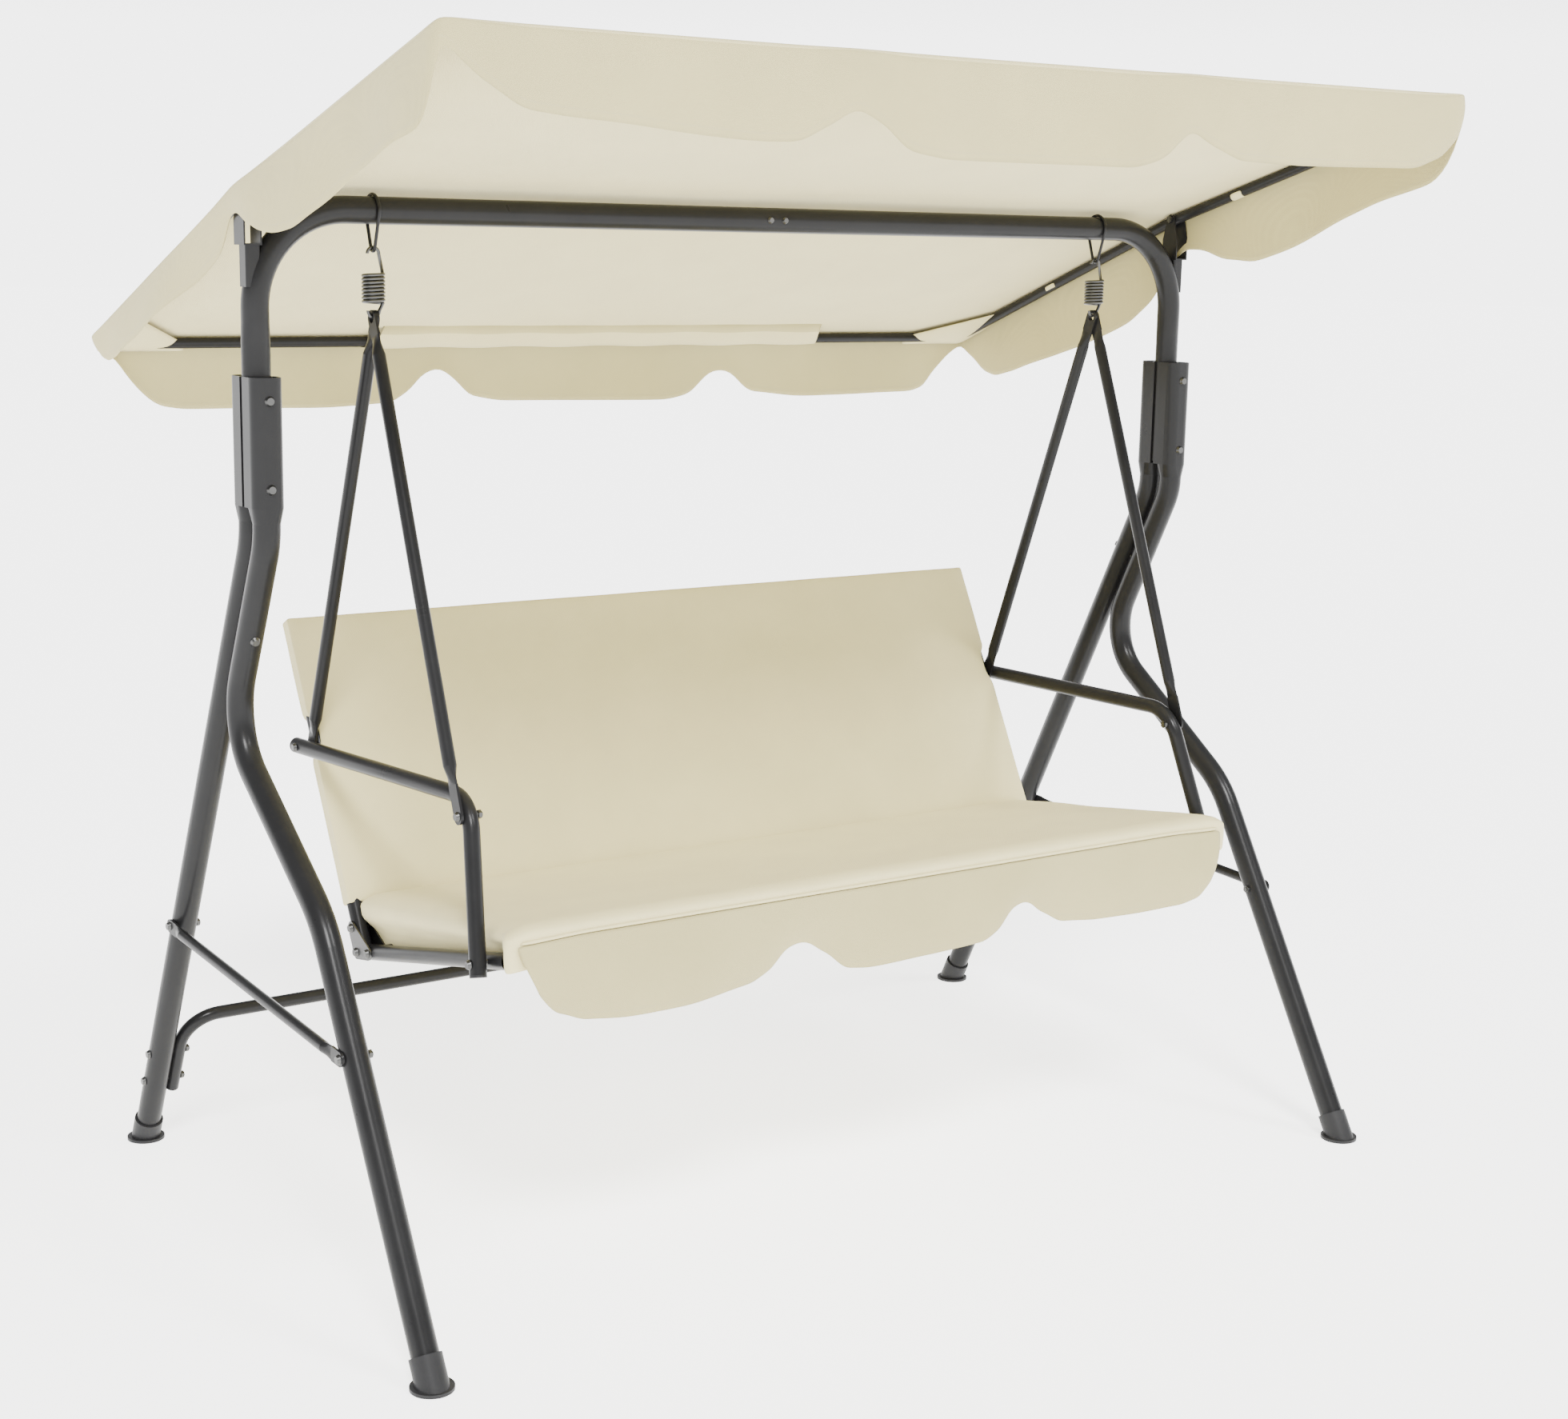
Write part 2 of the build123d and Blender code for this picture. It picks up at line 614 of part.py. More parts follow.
with BuildPart() as spigots:
    for side in (-1, 1):
        for row in (-1, 1):
            near_y = row * (rail_side_y - rail_spigot_reach)
            far_y = row * (rail_side_y + rail_spigot_reach)
            add_tube([(side * rail_x, near_y, rail_point(near_y)), (side * rail_x, far_y, rail_point(far_y))],
                     rail_r - rail_wall - 0.1, 1.2)
save(spigots.part, "canopy_rail_spigots")


def add_band(x, y_from, y_to):
    """Add a cloth band under a side rail, open at the top."""
    points = [(x, y_from, rail_point(y_from)), (x, y_to, rail_point(y_to))]
    add_tube(points, rail_r + rail_gap + tie_wall, tie_wall)


with BuildPart() as cover:
    ends = (-canopy_half_depth, 0, canopy_half_depth)
    with BuildSketch(Plane.YZ.offset(-canopy_half_width)) as sheet:
        with BuildLine():
            Polyline(*[(y, sheet_z(y)) for y in ends], *[(y, sheet_z(y, cloth)) for y in reversed(ends)],
                     close=True)
        make_face()
    extrude(sheet.sketch, amount=2 * canopy_half_width)
    for row, drop, rise in ((-1, front_valance_drop, front_arch_rise), (1, rear_valance_drop, rear_arch_rise)):
        top_z = sheet_z(row * canopy_half_depth) - 0.5
        front_face = Plane(origin=(0, row * canopy_half_depth, top_z), x_dir=(1, 0, 0), z_dir=(0, -1, 0))
        with BuildSketch(front_face) as valance:
            with Locations((0, -drop / 2)):
                Rectangle(2 * canopy_half_width, drop)
            with Locations(*[(x, -drop) for x in arch_x]):
                Ellipse(arch_width, rise, mode=Mode.SUBTRACT)
        extrude(valance.sketch, amount=row * cloth)
    lower_edge = [(-canopy_half_depth, side_end_drop), (-canopy_half_depth / 2, side_valance_drop),
                  (0, side_notch_drop), (canopy_half_depth / 2, side_valance_drop),
                  (canopy_half_depth, side_end_drop)]
    for side in (-1, 1):
        with BuildSketch(Plane.YZ.offset(side * canopy_half_width)) as flap:
            with BuildLine():
                Polyline(*[(y, sheet_z(y) - 0.5) for y in ends])
                Line((ends[0], sheet_z(ends[0]) - 0.5), (ends[0], sheet_z(ends[0]) - side_end_drop))
                Line((ends[2], sheet_z(ends[2]) - 0.5), (ends[2], sheet_z(ends[2]) - side_end_drop))
                Spline(*[(y, sheet_z(y) - drop) for y, drop in lower_edge])
            make_face()
        extrude(flap.sketch, amount=-side * cloth)
save(cover.part, "canopy_cover")

with BuildPart() as ties:
    for side in (-1, 1):
        for y in tie_y:
            add_band(side * rail_x, y - tie_length / 2, y + tie_length / 2)
    rear_z = rail_point(end_rail_y)
    add_tube([(rear_sleeve_x[0], end_rail_y, rear_z), (rear_sleeve_x[1], end_rail_y, rear_z)],
             rail_r + rail_gap + tie_wall, tie_wall)
    with BuildSketch(Plane.YZ.offset(-canopy_half_width)) as above:
        with BuildLine():
            Polyline(*[(y, sheet_z(y, cloth + 0.1)) for y in ends],
                     (canopy_half_depth, canopy_front_z + cloth), (-canopy_half_depth, canopy_front_z + cloth),
                     close=True)
        make_face()
    extrude(above.sketch, amount=2 * canopy_half_width, mode=Mode.SUBTRACT)
    with Locations((0, valance_y - 0.1 + cloth, rear_z)):
        Box(2 * canopy_half_width, 2 * cloth, 4 * rail_r, mode=Mode.SUBTRACT)
save(ties.part, "canopy_ties")

# ---------------------------------------------------------------- hanger rings and springs
ring_r = beam_r + ring_clearance + ring_wire_r
ring_lean = (ring_r - ring_nose_r) / ring_drop
ring_reach = sqrt(1 - ring_lean**2)
nose_z = beam_z - ring_drop
nose_bottom_z = nose_z - ring_nose_r
hook_top_z = nose_bottom_z + 2 * spring_wire_r + hook_eye_gap
spring_height = spring_turns * spring_pitch

for name, side in SIDES:
    x = side * hanger_x
    with BuildPart() as ring:
        with BuildLine(Plane(origin=(x, 0, 0), x_dir=(0, 1, 0), z_dir=(1, 0, 0))) as loop:
            high = (ring_r * ring_reach, beam_z - ring_r * ring_lean)
            low = (ring_nose_r * ring_reach, nose_z - ring_nose_r * ring_lean)
            ThreePointArc((-high[0], high[1]), (0, beam_z + ring_r), high)
            Line(high, low)
            ThreePointArc(low, (0, nose_bottom_z), (-low[0], low[1]))
            Line((-low[0], low[1]), (-high[0], high[1]))
        with BuildSketch(Plane(origin=loop.line @ 0, z_dir=loop.line % 0)) as wire:
            Circle(ring_wire_r)
        sweep(wire.sketch, path=loop.wires()[0])
    save(ring.part, f"hanger_ring_{name}")

coil_bottom_z = spring_top_z - spring_height
with BuildPart() as spring:
    x = hanger_x
    with BuildLine() as coil:
        Helix(spring_pitch, spring_height, spring_coil_r, center=(x, 0, coil_bottom_z))
    with BuildSketch(Plane(origin=coil.line @ 0, z_dir=coil.line % 0)) as wire:
        Circle(spring_wire_r)
    sweep(wire.sketch, path=coil.line, is_frenet=True)
    for tip_z, joint_z, turn in ((hook_top_z, spring_top_z, 1), (lower_hook_z, coil_bottom_z, -1)):
        middle_z = tip_z - turn * hook_r
        with BuildLine(Plane(origin=(x, 0, 0), x_dir=(1, 0, 0), z_dir=(0, -1, 0))) as hook:
            ThreePointArc((-hook_r, middle_z), (0, tip_z), (hook_r, middle_z))
        with BuildSketch(Plane(origin=hook.line @ 0, z_dir=hook.line % 0)) as hook_wire:
            Circle(spring_wire_r)
        sweep(hook_wire.sketch, path=hook.line)
        add_tube([(x + hook_r, 0, middle_z), (x + spring_coil_r, 0, joint_z)], spring_wire_r)
        with Locations((x + hook_r, 0, middle_z), (x + spring_coil_r, 0, joint_z)):
            Sphere(spring_wire_r + 0.15)

for name, side in SIDES:
    with BuildPart() as hung_spring:
        with Locations((side * hanger_x - hanger_x, 0, 0)):
            add(spring.part)
    save(hung_spring.part, f"spring_{name}")

# ---------------------------------------------------------------- swing arms and armrests
def armrest_points(side):
    """Armrest centre line, from its rear end to its lower end, through both end bolts."""
    rear = Vector(side * armrest_rear_x, back_bolt_y, back_bolt_z)
    vertex = Vector(side * armrest_vertex_x, armrest_vertex_y, armrest_vertex_z)
    low = Vector(side * armrest_low_x, seat_bolt_y, seat_z(seat_bolt_y))
    tail_rear = rear + (rear - vertex).normalized() * armrest_tail
    tail_low = low + (low - vertex).normalized() * armrest_tail
    return [tail_rear, vertex, tail_low]


def armrest_bolt(side):
    """The point on the armrest's front bend where the front arm is bolted."""
    tail_rear, vertex, tail_low = armrest_points(side)
    back = (tail_rear - vertex).normalized()
    down = (tail_low - vertex).normalized()
    half_angle = radians(back.get_angle(down) / 2)
    centre = vertex + (back + down).normalized() * (armrest_bend_r / sin(half_angle))
    toward = (vertex + down * (armrest_bend_r / tan(half_angle) * armrest_bolt_share) - centre).normalized()
    return centre + toward * armrest_bend_r


front_bolt = armrest_bolt(1)
rear_arm_run = Vector(0, back_bolt_y, back_bolt_z - eye_z)
front_arm_run = Vector(0, front_bolt.Y, front_bolt.Z - eye_z)
arm_top_flat = arm_flat_share * arm_r / sin(radians(rear_arm_run.get_angle(front_arm_run) / 2))
for name, side in SIDES:
    rear_x = side * arm_rear_x
    front_x = side * arm_front_x
    with BuildPart() as rear_arm:
        add_flat_end_tube((rear_x, 0, eye_z), (rear_x, back_bolt_y, back_bolt_z), arm_r, arm_wall, arm_plate,
                          arm_plate_width, (arm_top_flat, rear_arm_low_flat), arm_fade,
                          (arm_eye_r, bolt_r + bolt_clearance))
    save(rear_arm.part, f"rear_arm_{name}")

    with BuildPart() as front_arm:
        add_flat_end_tube((front_x, 0, eye_z), (front_x, front_bolt.Y, front_bolt.Z), arm_r, arm_wall, arm_plate,
                          arm_plate_width, (arm_top_flat, front_arm_low_flat), arm_fade,
                          (arm_eye_r, bolt_r + bolt_clearance))
    save(front_arm.part, f"front_arm_{name}")

    points = armrest_points(side)
    with BuildPart() as armrest:
        add_tube(points, seat_tube_r, seat_tube_wall, armrest_bend_r)
        for point in (Vector(0, back_bolt_y, back_bolt_z), front_bolt, Vector(0, seat_bolt_y, seat_z(seat_bolt_y))):
            bore((side * armrest_rear_x, point.Y, point.Z), (1, 0, 0), bolt_r + bolt_clearance, 200.0)
    save(armrest.part, f"armrest_{name}")

    with BuildPart() as plugs:
        for end, other in ((points[0], points[1]), (points[2], points[1])):
            outward = (end - other).normalized()
            add_disc(end + outward * plug_clearance, outward, seat_tube_r, plug_head)
            add_disc(end - outward * plug_reach, outward, seat_tube_r - seat_tube_wall - plug_clearance,
                     plug_reach + 2 * plug_clearance)
    save(plugs.part, f"armrest_plugs_{name}")

    back_inner_x = seat_tube_x - seat_tube_r
    with BuildPart() as seat_bolts:
        outer = armrest_rear_x + seat_tube_r
        add_bolt((side * (outer + 0.3), back_bolt_y, back_bolt_z), (-side, 0, 0), outer - back_inner_x + 0.5)
        outer = arm_front_x + arm_plate / 2
        add_bolt((side * (outer + 0.1), front_bolt.Y, front_bolt.Z), (-side, 0, 0),
                 outer - abs(front_bolt.X) + seat_tube_r + 1.2)
        outer = armrest_low_x + seat_tube_r
        add_bolt((side * (outer + 1.0), seat_bolt_y, seat_z(seat_bolt_y)), (-side, 0, 0), outer - back_inner_x + 1.2)
    save(seat_bolts.part, f"seat_bolts_{name}")

# ---------------------------------------------------------------- seat frame and back frame
seat_normal = Vector(0, seat_slope, 1).normalized()
seat_rise = Vector(0, -1, seat_slope).normalized()
hinge_back_points = [back_point(along) for along in hinge_bolts_back]
hinge_seat_point = Vector(0, hinge_bolt_seat_y, seat_z(hinge_bolt_seat_y))
hinge_points = hinge_back_points + [hinge_seat_point]

for name, side in SIDES:
    x = side * seat_tube_x
    with BuildPart() as side_tube:
        add_tube([(x, seat_rear_y, seat_z(seat_rear_y)), (x, seat_front_y, seat_z(seat_front_y))], seat_tube_r,
                 seat_tube_wall)
        for y in (seat_bolt_y, hinge_bolt_seat_y):
            bore((x, y, seat_z(y)), (1, 0, 0), bolt_r + bolt_clearance, 4 * seat_tube_r)
    save(side_tube.part, f"seat_side_tube_{name}")

    with BuildPart() as hinge:
        for face_x in (seat_tube_x + seat_tube_r + 0.1, seat_tube_x - seat_tube_r - 0.1 - hinge_plate):
            start_x = side * face_x + (0 if side > 0 else -hinge_plate)
            with BuildSketch(Plane(origin=(start_x, 0, 0), x_dir=(0, 1, 0), z_dir=(1, 0, 0))) as plate:
                with Locations(*[(point.Y, point.Z) for point in hinge_points]):
                    Circle(hinge_plate_r)
                make_hull()
                with Locations(*[(point.Y, point.Z) for point in hinge_points]):
                    Circle(bolt_r + bolt_clearance, mode=Mode.SUBTRACT)
            extrude(plate.sketch, amount=hinge_plate)
    save(hinge.part, f"hinge_plates_{name}")

    with BuildPart() as hinge_bolts:
        outer = seat_tube_x + seat_tube_r + 0.1 + hinge_plate
        for point in hinge_points:
            add_bolt((side * (outer + 0.05), point.Y, point.Z), (-side, 0, 0),
                     2 * (seat_tube_r + 0.1 + hinge_plate) + 0.1)
    save(hinge_bolts.part, f"hinge_bolts_{name}")

butt_x = seat_tube_x - seat_tube_r
for name, y in (("front", seat_front_rail_y), ("rear", seat_rear_rail_y)):
    with BuildPart() as rail:
        add_tube([(-seat_tube_x, y, seat_z(y)), (seat_tube_x, y, seat_z(y))], seat_tube_r - 0.5, seat_tube_wall)
        for side in (-1, 1):
            bore((side * seat_tube_x, y, seat_z(y)), seat_rise, seat_tube_r + 0.05, 8 * seat_tube_r)
    save(rail.part, f"seat_{name}_rail")

with BuildPart() as back_frame:
    corners = [(-seat_tube_x, back_bottom), (-seat_tube_x, back_top), (seat_tube_x, back_top),
               (seat_tube_x, back_bottom)]
    add_tube([back_point(along, 0, x) for x, along in corners], seat_tube_r, seat_tube_wall, back_corner_r)
    for along in (*hinge_bolts_back, 0.0):
        point = back_point(along)
        for side in (-1, 1):
            bore((side * seat_tube_x, point.Y, point.Z), (1, 0, 0), bolt_r + bolt_clearance, 4 * seat_tube_r)
save(back_frame.part, "back_frame")

with BuildPart() as back_rail:
    ends = [back_point(back_lower_rail, 0, -seat_tube_x), back_point(back_lower_rail, 0, seat_tube_x)]
    add_tube(ends, back_lower_rail_r, seat_tube_wall)
    for side in (-1, 1):
        bore(back_point(back_lower_rail, 0, side * seat_tube_x), back_up, seat_tube_r + 0.05, 8 * seat_tube_r)
save(back_rail.part, "back_lower_rail")

with BuildPart() as straps:
    strap_low = seat_tube_r + 2.2
    for index in range(strap_count):
        x = (index - (strap_count - 1) / 2) * strap_pitch
        plane = Plane(origin=(x - strap_half_width, 0, 0), x_dir=(0, 1, 0), z_dir=(1, 0, 0))
        corners = [Vector(0, y, seat_z(y)) - seat_normal * lift
                   for y, lift in ((seat_front_rail_y, strap_low), (seat_rear_rail_y, strap_low),
                                   (seat_rear_rail_y, strap_low - 2), (seat_front_rail_y, strap_low - 2))]
        with BuildSketch(plane) as strap:
            with BuildLine():
                Polyline(*[(point.Y, point.Z) for point in corners], close=True)
            make_face()
        extrude(strap.sketch, amount=2 * strap_half_width)
save(straps.part, "seat_straps")

# ---------------------------------------------------------------- cushions and skirt
with BuildPart() as pad:
    outline = [(pad_front_y, pad_bottom), (pad_rear_low_y, pad_bottom), (pad_rear_top_y, pad_top_rear),
               (pad_front_y, pad_top)]
    with BuildSketch(Plane.YZ.offset(-pad_half_width)) as profile:
        with BuildLine():
            Polyline(*[(y, seat_z(y) + lift) for y, lift in outline], close=True)
        make_face()
        nose = profile.vertices().sort_by(Axis.Y)[:2].sort_by(Axis.Z)[1]
        fillet(nose, radius=pad_nose_r)
    extrude(profile.sketch, amount=2 * pad_half_width)
    for side in (-1, 1):
        x = side * seat_tube_x
        add_tube([(x, seat_rear_y + 60, seat_z(seat_rear_y + 60)), (x, seat_front_y - 60, seat_z(seat_front_y - 60))],
                 seat_tube_r + pad_side_clearance, mode=Mode.SUBTRACT)
        with BuildSketch(Plane(origin=(x - 30, 0, 0), x_dir=(0, 1, 0), z_dir=(1, 0, 0))) as room:
            with Locations(*[(point.Y, point.Z) for point in hinge_points]):
                Circle(hinge_room_r)
            make_hull()
        extrude(room.sketch, amount=60, mode=Mode.SUBTRACT)
        bore((x, seat_bolt_y, seat_z(seat_bolt_y)), (1, 0, 0), bolt_room_r, bolt_room_length)
    for y in (seat_front_rail_y, seat_rear_rail_y):
        add_tube([(-seat_tube_x, y, seat_z(y)), (seat_tube_x, y, seat_z(y))], seat_tube_r + 0.1, mode=Mode.SUBTRACT)
save(pad.part, "seat_pad")

with BuildPart() as backrest:
    plane = Plane(origin=back_point(0, -cover_half_thickness), x_dir=(1, 0, 0), z_dir=back_out)
    slit_low, slit_high = cover_slit
    with BuildSketch(plane) as face:
        sign = 1 if plane.y_dir.Z > 0 else -1
        with Locations((0, sign * (cover_top + cover_bottom) / 2)):
            RectangleRounded(2 * cover_half_width, cover_top - cover_bottom, cover_corner_r)
        for side in (-1, 1):
            with Locations((side * cover_half_width, sign * (slit_low + slit_high) / 2)):
                Rectangle(2 * cover_slit_depth, slit_high - slit_low, mode=Mode.SUBTRACT)
    extrude(face.sketch, amount=2 * cover_half_thickness)
    add_tube([back_point(along, 0, x) for x, along in [(-seat_tube_x, back_bottom), (-seat_tube_x, back_top),
                                                       (seat_tube_x, back_top), (seat_tube_x, back_bottom)]],
             seat_tube_r + 0.1, 0.0, back_corner_r, Mode.SUBTRACT)
    add_tube([back_point(back_lower_rail, 0, -seat_tube_x), back_point(back_lower_rail, 0, seat_tube_x)],
             back_lower_rail_r + 0.1, mode=Mode.SUBTRACT)
    for side in (-1, 1):
        bore((side * seat_tube_x, back_bolt_y, back_bolt_z), (1, 0, 0), bolt_room_r, bolt_room_length)
save(backrest.part, "backrest_cover")

with BuildPart() as skirt:
    skirt_y = pad_front_y - skirt_gap
    with BuildSketch(Plane(origin=(0, skirt_y, 0), x_dir=(1, 0, 0), z_dir=(0, -1, 0))) as apron:
        with Locations((0, (skirt_top_z + skirt_bottom_z) / 2)):
            Rectangle(2 * skirt_half_width, skirt_top_z - skirt_bottom_z)
        with Locations((-skirt_arch_x, skirt_bottom_z), (skirt_arch_x, skirt_bottom_z)):
            Ellipse(skirt_arch_half, skirt_arch_z - skirt_bottom_z, mode=Mode.SUBTRACT)
        with Locations((-skirt_half_width, skirt_bottom_z), (skirt_half_width, skirt_bottom_z)):
            Ellipse(skirt_corner_half, skirt_corner_rise, mode=Mode.SUBTRACT)
    extrude(apron.sketch, amount=cloth)
save(skirt.part, "seat_skirt")
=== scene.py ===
"""Looks for a three-seat canopy swing: its coated tubes, springs, canopy, padded bench and skirt.

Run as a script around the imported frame. Everything is in metres, +Z up, -Y to the front.
"""

import json
import math

import bmesh
import bpy
from bpy.props import FloatProperty, FloatVectorProperty, PointerProperty
from mathutils import Matrix, Vector, noise


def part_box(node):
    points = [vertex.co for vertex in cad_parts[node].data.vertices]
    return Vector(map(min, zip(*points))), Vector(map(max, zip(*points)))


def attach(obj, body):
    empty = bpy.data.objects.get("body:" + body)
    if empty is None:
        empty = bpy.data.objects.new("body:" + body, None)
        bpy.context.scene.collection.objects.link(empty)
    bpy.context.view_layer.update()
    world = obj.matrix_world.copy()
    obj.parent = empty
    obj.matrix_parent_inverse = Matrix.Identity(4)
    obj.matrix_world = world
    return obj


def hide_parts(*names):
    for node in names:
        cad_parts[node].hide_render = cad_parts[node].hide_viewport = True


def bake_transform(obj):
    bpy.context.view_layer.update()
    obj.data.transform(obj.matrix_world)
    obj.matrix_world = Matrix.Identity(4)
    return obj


bl_info = {
    "name": "Canopy swing maker",
    "version": (1, 0, 0),
    "blender": (4, 5, 0),
    "location": "View3D > Sidebar > Swing",
    "description": "Makes the cloth, cushions, springs and finishes of a canopy swing",
    "category": "Object",
}

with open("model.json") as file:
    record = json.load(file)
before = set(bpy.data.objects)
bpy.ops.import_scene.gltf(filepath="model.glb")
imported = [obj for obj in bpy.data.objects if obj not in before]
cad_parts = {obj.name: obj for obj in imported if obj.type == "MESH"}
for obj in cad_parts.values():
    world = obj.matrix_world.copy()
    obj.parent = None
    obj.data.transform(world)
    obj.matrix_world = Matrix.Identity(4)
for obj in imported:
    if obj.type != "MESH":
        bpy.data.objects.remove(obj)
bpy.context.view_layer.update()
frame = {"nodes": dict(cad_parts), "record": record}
NODES = frame["nodes"]
COVER_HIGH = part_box("canopy_cover")[1]
PAD_LOW, PAD_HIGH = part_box("seat_pad")
RAIL_LOW, RAIL_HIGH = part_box("canopy_rear_rail")
SKIRT_LOW, SKIRT_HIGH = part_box("seat_skirt")
STRAPS_LOW, STRAPS_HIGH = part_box("seat_straps")

# The backrest's plane: the arms' bolt in it, its lean, and the directions up it and out of it.
# Its cover runs from the foot to the head, measured up from the bolt.
BACK_BOLT = Vector((0, 0.257, 0.722))
BACK_LEAN = math.radians(27.9)
BACK_UP = Vector((0, math.sin(BACK_LEAN), math.cos(BACK_LEAN)))
BACK_OUT = Vector((0, math.cos(BACK_LEAN), -math.sin(BACK_LEAN)))
BACK_FOOT, BACK_HEAD = -0.267, 0.2165
# The seat's plane: a point of it as (y, z), and how far it falls for each metre to the rear.
SEAT_PIN = (0.063, 0.427)
SEAT_SLOPE = 0.2275

# Cloth. The hem attribute holds each point's distance from its hem, and one metre on other cloth.
NO_HEM = 1.0
HANGING_HEM = 0.5
STITCH_PLACE, STITCH_HALF_WIDTH = 0.0105, 0.0011
HEM_DEPTH = 0.0125
# Painted shade: all cloth nearer its hem than HANGING_HEM, which is the valances and the skirt, is
# darkened by the colour below.
HANGING_CLOTH_PAINTED_SHADE = (0.76, 0.75, 0.68)
FABRIC_THICKNESS = 0.0014
SLEEVE_THICKNESS = 0.001
WEBBING_THICKNESS = 0.0012

# Canopy. The flat size is the cut cloth's; the corner blend is where two valances meet.
CANOPY_GRID = (92, 64)
VALANCE_ROWS = 9
CORNER_BLEND = 0.06
CREASE_HEIGHT = 0.0022
VALANCE_BELLY = 0.003

# Sleeve on the rear rail, from its sewn edge to the rear, as (behind, above) the rail's middle.
# The sewn edge has no height of its own: it lies against the cloth.
RAIL_RADIUS = 0.009
SLEEVE_PROFILE = ((-0.052, None), (-0.03, -0.004), (-0.012, -0.0105), (0.0, -0.0125),
                  (0.0085, -0.0085))
SLEEVE_START, SLEEVE_LENGTH, SLEEVE_COLUMNS = -0.44, 0.975, 42
SLEEVE_END_LEAN = 0.03
SLEEVE_BELOW_CLOTH, SLEEVE_RIPPLE = 0.0035, 0.0012
POCKET_SIZE, POCKET_COLUMNS, POCKET_ROWS, POCKET_CORNER_X = 0.15, 8, 4, 0.9
POCKET_REAR, POCKET_BELOW_CLOTH, POCKET_RISE, POCKET_MERGE = 0.01, 0.0235, 0.013, 0.0004
STRAP_X, STRAP_PLACES = 0.888, (-0.156, 0.33)
STRAP_CUTS = (-0.0125, -0.004, 0.004, 0.0125)
STRAP_STEPS = 8
STRAP_REACH, STRAP_DEPTH, STRAP_DROP = 0.0115, 0.0105, 0.0122

# Springs: the distance within which doubled points of the coil mesh are merged.
SPRING_MERGE = 0.00005

# Bench. The dish, crown, crease and rounding are depths on the cushions' faces and edges.
PAD_GRID, BACK_GRID, SKIRT_GRID = (95, 35, 5), (97, 39, 5), (110, 14)
PAD_REAR_LOW, PAD_REAR_HIGH = 0.086, 0.122
PAD_BOTTOM, PAD_TOP, PAD_RISE = -0.012, 0.051, 0.041
# Behind this share of its depth the pad's underside stays between the side tubes.
TUBE_COVER = -0.93
PAD_INSIDE_TUBES = 0.6645
PAD_CROWN, PAD_DISH, PAD_EDGE_ROUND, PAD_REAR_ROUND = 0.004, 0.010, 0.010, 0.003
PAD_END_INSET, PAD_END_RIPPLE, PAD_END_PULL, PAD_END_TUCK = 0.003, 0.003, 0.003, 0.006
PAD_FRONT_CORNER = 0.013
PAD_PUFF, BACK_PUFF = (2.0, 0.006), (1.2, 0.004)
CUSHION_CREASE = 0.0016
BACK_RIM, BACK_CROWN = 0.0035, 0.004
PIPING_HEIGHT, PIPING_POINTS, PIPING_SHARE = 0.0285, 69, 0.985
PIPING_INSET, SEAM_DIP = 0.0008, 0.004
# The backrest's side openings for the arms, as distances along it: where each end starts and stops.
SLOT_FOOT, SLOT_HEAD, SLOT_DEPTH = (-0.016, -0.008), (0.040, 0.048), 0.012
SKIRT_DROP, SKIRT_TAPER = 0.125, 0.034
SKIRT_BEHIND, SKIRT_ABOVE = 0.0015, 0.001
WEBBING_COUNT, WEBBING_PITCH, WEBBING_HALF_WIDTH = 7, 0.19, 0.0245
WEBBING_BELOW, WEBBING_SAG, WEBBING_CURL = 0.0138, 0.0012, 0.0003

# Camera: its place, its heading, tilt and roll in degrees, and its lens in millimetres.
CAMERA_PLACE = (-2.223, -3.2624, 1.5269)
CAMERA_ANGLES = (34.795, 10.994, 1.12)
CAMERA_LENS, CAMERA_SENSOR = 55.28, 36
FLOOR_SIZE, FLOOR_DROP = 60, 0.0005
LAMPS = (("key_left", (0.45, 1.0, -1.2), 1.0), ("key_right", (-0.6, 1.0, -1.3), 0.4))
LAMP_ANGLE = math.radians(16)

# Cloths: slot, material, colour setting, share of that colour, threads, whether it has hems.
CLOTHS = (
    # Painted light and shade: the seat cloth (1.2) and the canopy cloth (1.12) are lighter copies
    # of one sand-white cloth colour. The skirt, cut from the seat cloth, keeps it at 1.0 and so
    # stays darker.
    ("canopy_fabric", "canopy_cloth", "cloth", 1.12, 2600.0, True),
    ("seat_fabric", "seat_cloth", "cloth", 1.2, 2200.0, False),
    ("skirt_fabric", "skirt_cloth", "cloth", 1.0, 2200.0, True),
    ("webbing", "seat_webbing", "webbing", 1.0, 1500.0, False),
)
# Hard finishes: slot, material, colour setting, share of that colour, then metallic, roughness,
# coat, grain, spread of the colour and relief.
HARD_FINISHES = (
    ("frame_steel", "powder_coat", "coat", 1.0, (0.0, 0.30, 0.04, 1400.0, 0.06, 0.22)),
    ("ring_steel", "dark_wire", "coat", 0.8, (0.3, 0.4, 0.2, 1800.0, 0.1, 0.2)),
    ("zinc_steel", "zinc_plate", "zinc", 1.0, (1.0, 0.36, 0.0, 1200.0, 0.12, 0.25)),
    ("cap_plastic", "black_moulding", "cap", 1.0, (0.0, 0.45, 0.0, 1600.0, 0.12, 0.45)),
)
MATERIALS = {}

